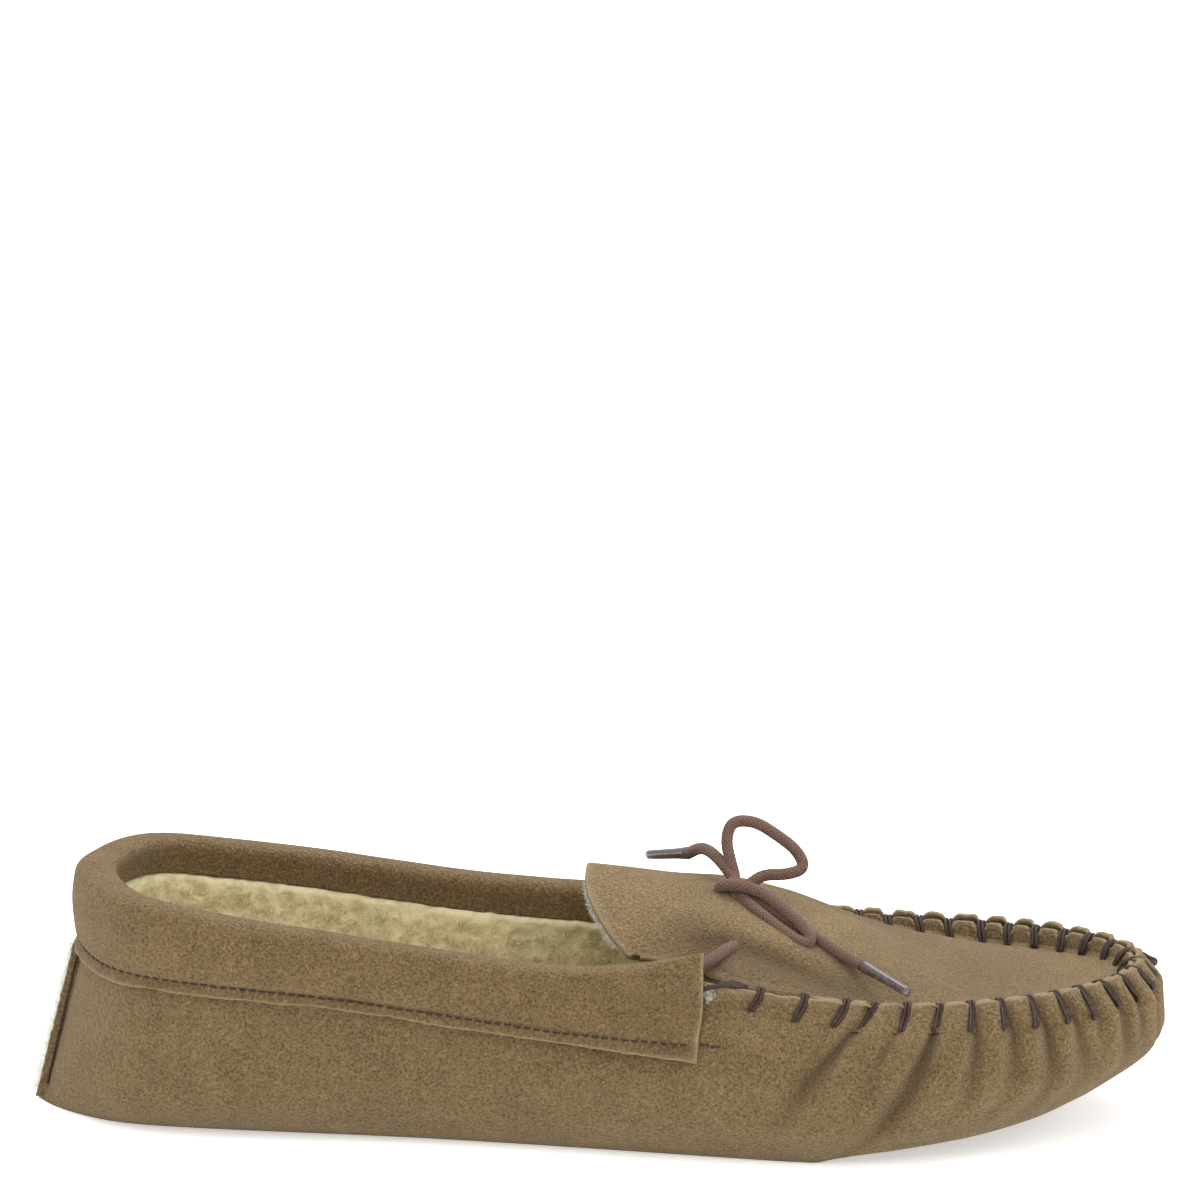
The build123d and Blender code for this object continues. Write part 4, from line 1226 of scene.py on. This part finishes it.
def suede(name, dark=TAN_DARK, light=TAN_LIGHT):
    """Brushed suede with paler raw edges, and painted shade that darkens its grooves, creases and dents."""
    material, nodes, links, shader = new_material(name, NAP_FINISH)
    place = add(nodes, "ShaderNodeTexCoord", {})
    nap = add(nodes, "ShaderNodeGroup", {}, node_tree=NAP)
    nap.inputs["Dark"].default_value = dark
    nap.inputs["Light"].default_value = light
    links.new(place.outputs["Object"], nap.inputs["Vector"])
    # Painted shade: where the fold note is high, the suede is darkened towards the painted shade colour.
    fold = add(nodes, "ShaderNodeAttribute", {}, attribute_name="fold")
    painted_shade_amount = add(nodes, "ShaderNodeMapRange", {"From Min": 0.05, "From Max": 0.9, "To Max": 0.72})
    links.new(fold.outputs["Fac"], painted_shade_amount.inputs["Value"])
    shade = add(nodes, "ShaderNodeMix", {"B": PAINTED_SHADE_COLOUR}, data_type="RGBA")
    links.new(painted_shade_amount.outputs["Result"], shade.inputs["Factor"])
    links.new(nap.outputs["Color"], shade.inputs["A"])
    edge_ = add(nodes, "ShaderNodeAttribute", {}, attribute_name="edge")
    amount = add(nodes, "ShaderNodeMath", {1: 0.75}, operation="MULTIPLY")
    links.new(edge_.outputs["Fac"], amount.inputs[0])
    raw_ = add(nodes, "ShaderNodeMix", {"B": RAW_COLOUR}, data_type="RGBA")
    links.new(amount.outputs["Value"], raw_.inputs["Factor"])
    links.new(shade.outputs["Result"], raw_.inputs["A"])
    links.new(raw_.outputs["Result"], shader.inputs["Base Color"])
    bumps(nodes, links, nap.outputs["Height"], shader, 0.75, 0.0005)
    return material


# %% [markdown]
# Wool is painted paler on its raised tufts and darker between them, as painted shade, and a little
# light passes through it. The lace has a painted highlight on its top strands and painted shade in
# the braid's gaps. Thread is plainer.

# %% Wool, braid, thread and film
WOOL_FINISH = {"Roughness": 0.95, "Specular IOR Level": 0.1, "Sheen Weight": 0.25,
               "Subsurface Weight": 0.25, "Subsurface Radius": (0.004, 0.003, 0.0018),
               "Subsurface Scale": 1.0}


def with_note(nodes, links, texture, note_name, strength):
    """A texture's value with a share of a stored note added to it."""
    stored = add(nodes, "ShaderNodeAttribute", {}, attribute_name=note_name)
    total = add(nodes, "ShaderNodeMath", {1: strength}, operation="MULTIPLY_ADD")
    links.new(stored.outputs["Fac"], total.inputs[0])
    links.new(texture.outputs["Fac"], total.inputs[2])
    return total.outputs["Value"]


def wool(name, dark, light, scale):
    """Curled wool: soft clumps, with painted shade that makes it paler on the tufts than between them."""
    material, nodes, links, shader = new_material(name, WOOL_FINISH)
    clump = noise_here(nodes, links, {"Scale": scale, "Detail": 5, "Distortion": 0.8})
    # Painted shade: the stored tuft height lightens the tufts and darkens the wool between them.
    value = with_note(nodes, links, clump, "fold", 0.28)
    tone_of(nodes, links, value, shader, ((0.28, dark), (0.62, light)))
    bumps(nodes, links, clump.outputs["Fac"], shader, 0.8, 0.0008)
    return material


def braided(name, dark, light):
    """The lace: painted highlight on the braid's top strands and painted shade in its gaps, with fine yarn
    lines.
    """
    finish = {"Roughness": 0.72, "Specular IOR Level": 0.3, "Sheen Weight": 0.2}
    material, nodes, links, shader = new_material(name, finish)
    yarn = noise_here(nodes, links, {"Scale": 2600, "Detail": 3})
    value = with_note(nodes, links, yarn, "painted_braid_shade", 0.14)
    # Painted highlight: the top strands reach a tone lighter than the lace's own light colour.
    painted_highlight_tone = tuple(min(1, c * 1.35) for c in light)
    tone_of(nodes, links, value, shader, ((0.30, dark), (0.75, light), (1.0, painted_highlight_tone)))
    bumps(nodes, links, yarn.outputs["Fac"], shader, 0.4, 0.0002)
    return material


def yarn_material(name, dark, light, rough, scale):
    """Plain thread, whose colour varies along it."""
    finish = {"Roughness": rough, "Specular IOR Level": 0.25}
    material, nodes, links, shader = new_material(name, finish)
    fibre = noise_here(nodes, links, {"Scale": scale, "Detail": 4})
    tone_of(nodes, links, fibre.outputs["Fac"], shader, ((0.3, dark), (0.7, light)))
    bumps(nodes, links, fibre.outputs["Fac"], shader, 0.5, 0.0002)
    return material


def film_material(name, dark, light):
    """The aglet's clear film over a dark lace end: smooth, with a coat."""
    finish = {"Roughness": 0.22, "Coat Weight": 0.8, "Coat Roughness": 0.12}
    material, nodes, links, shader = new_material(name, finish)
    cloud = noise_here(nodes, links, {"Scale": 900, "Detail": 3})
    tone_of(nodes, links, cloud.outputs["Fac"], shader, ((0.35, dark), (0.7, light)))
    return material


SUEDE_BODY = suede("Suede, wrap")
SUEDE_TOP = suede("Suede, apron", (0.092, 0.057, 0.023, 1), (0.285, 0.193, 0.094, 1))
SUEDE_BAND = suede("Suede, collar", (0.070, 0.042, 0.015, 1), (0.230, 0.150, 0.067, 1))
FLEECE_CREAM = wool("Cream fleece", (0.52, 0.45, 0.26), (0.70, 0.62, 0.39), 320)
FLEECE_WHITE = wool("White backing wool", (0.55, 0.53, 0.47), (0.86, 0.85, 0.80), 900)
WAXED = yarn_material("Waxed thread", (0.016, 0.009, 0.006), (0.062, 0.038, 0.027), 0.5, 1800)
SEWING = yarn_material("Sewing thread", (0.018, 0.011, 0.009), (0.060, 0.035, 0.026), 0.55, 2400)
BRAID = braided("Braided lace", (0.058, 0.028, 0.018), (0.150, 0.084, 0.056))
AGLET_FILM = film_material("Aglet film", (0.045, 0.030, 0.029), (0.115, 0.080, 0.076))
print("materials:", len(bpy.data.materials))

# %% [markdown]
# ## Bodies and finishes
# Each piece takes its material; most join the shoe's body, and the tongue's stitches and fuzz join
# the tongue's. The apron and its lining take only their material and have their placement baked
# in, and the model's plain solids are hidden.

# %% Bodies and finishes
for piece, material, finish_slot in (
    (wrap, SUEDE_BODY, "suede"), (collar, SUEDE_BAND, "suede"),
    (flanges[0], SUEDE_BODY, "suede"), (flanges[1], SUEDE_BODY, "suede"),
    (fin_backing, FLEECE_WHITE, "fleece"), (seam_wool, FLEECE_WHITE, "fleece"),
    (sock, FLEECE_CREAM, "fleece"), (pile, FLEECE_CREAM, "fleece"),
    (heel_thread, SEWING, "sewing_thread"),
    (collar_thread, SEWING, "sewing_thread"), (collar_tails, SEWING, "sewing_thread"),
    (whips, WAXED, "waxed_thread"), (lace_a, BRAID, "lace"), (lace_b, BRAID, "lace"),
    (lace_c, BRAID, "lace"),
    (aglet_near, AGLET_FILM, "aglet"), (aglet_far, AGLET_FILM, "aglet"),
):
    finish_piece(piece, material, "shoe")

for piece, material, finish_slot in (
    (apron, SUEDE_TOP, "suede"), (apron_lining, FLEECE_WHITE, "fleece"),
):
    piece.data.materials.append(material)
for piece, material, finish_slot in (
    (tongue_thread, SEWING, "sewing_thread"), (throat_fuzz, FLEECE_WHITE, "fleece"),
):
    finish_piece(piece, material, "tongue")

for piece in (apron, apron_lining):
    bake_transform(piece)

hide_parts("wrap_upper")
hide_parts("vamp_apron", "tongue_flap")
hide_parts("collar_cuff")
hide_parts("sock_lining")
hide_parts("vamp_lining", "tongue_lining")
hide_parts("toe_whip_stitches")
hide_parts("collar_topstitching")
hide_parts("tongue_topstitching")
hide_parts("heel_seam_stitching")
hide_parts("lace_side_near", "bow_loop_up", "lace_end_far", "bow_knot")
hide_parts("lace_side_far", "bow_loop_near", "lace_end_near")
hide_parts("lace_collar_run")
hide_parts("aglet_near")
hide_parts("aglet_far")
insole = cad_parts["foam_insole"]
insole.data.materials.clear()
insole.data.materials.append(FLEECE_WHITE)

# %% [markdown]
# ## Stage
# A white floor, three big soft lamps and a pale world, as in a product studio.

# %% Stage
bpy.ops.mesh.primitive_plane_add(size=8.0, location=(0, 0, -0.0002))
floor = bpy.context.object
floor.name = "stage_floor"
FLOOR_FINISH = {"Base Color": (0.93, 0.93, 0.93, 1), "Roughness": 0.9,
                "Emission Color": (1, 1, 1, 1), "Emission Strength": 0.45}
white = new_material("White floor", FLOOR_FINISH)[0]
floor.data.materials.append(white)


LAMP_AIM = (0, 0, 0.03)


def lamp(name, place, size, power, colour=(1, 1, 1)):
    """A rectangular soft lamp that faces the shoe."""
    bpy.ops.object.light_add(type="AREA", location=place)
    light = bpy.context.object
    light.name = name
    light.data.shape = "RECTANGLE"
    light.data.size, light.data.size_y = size
    light.data.energy = power
    light.data.color = colour
    light.rotation_euler = (Vector(LAMP_AIM) - Vector(place)).to_track_quat("-Z", "Y").to_euler()


lamp("stage_key", (-0.35, -0.9, 1.1), (1.1, 0.9), 9.0, (1.0, 0.985, 0.96))
lamp("stage_top", (0.1, 0.5, 1.3), (1.4, 1.0), 15.0)
lamp("stage_side", (1.1, -0.3, 0.6), (0.8, 0.8), 5.0)
print("lamps:", len(bpy.data.lights))
world = bpy.data.worlds.new("Studio")
world.use_nodes = True
world.node_tree.nodes["Background"].inputs["Color"].default_value = (1.0, 1.0, 1.0, 1)
world.node_tree.nodes["Background"].inputs["Strength"].default_value = 0.75
bpy.context.scene.world = world
bpy.context.scene.view_settings.view_transform = "Standard"
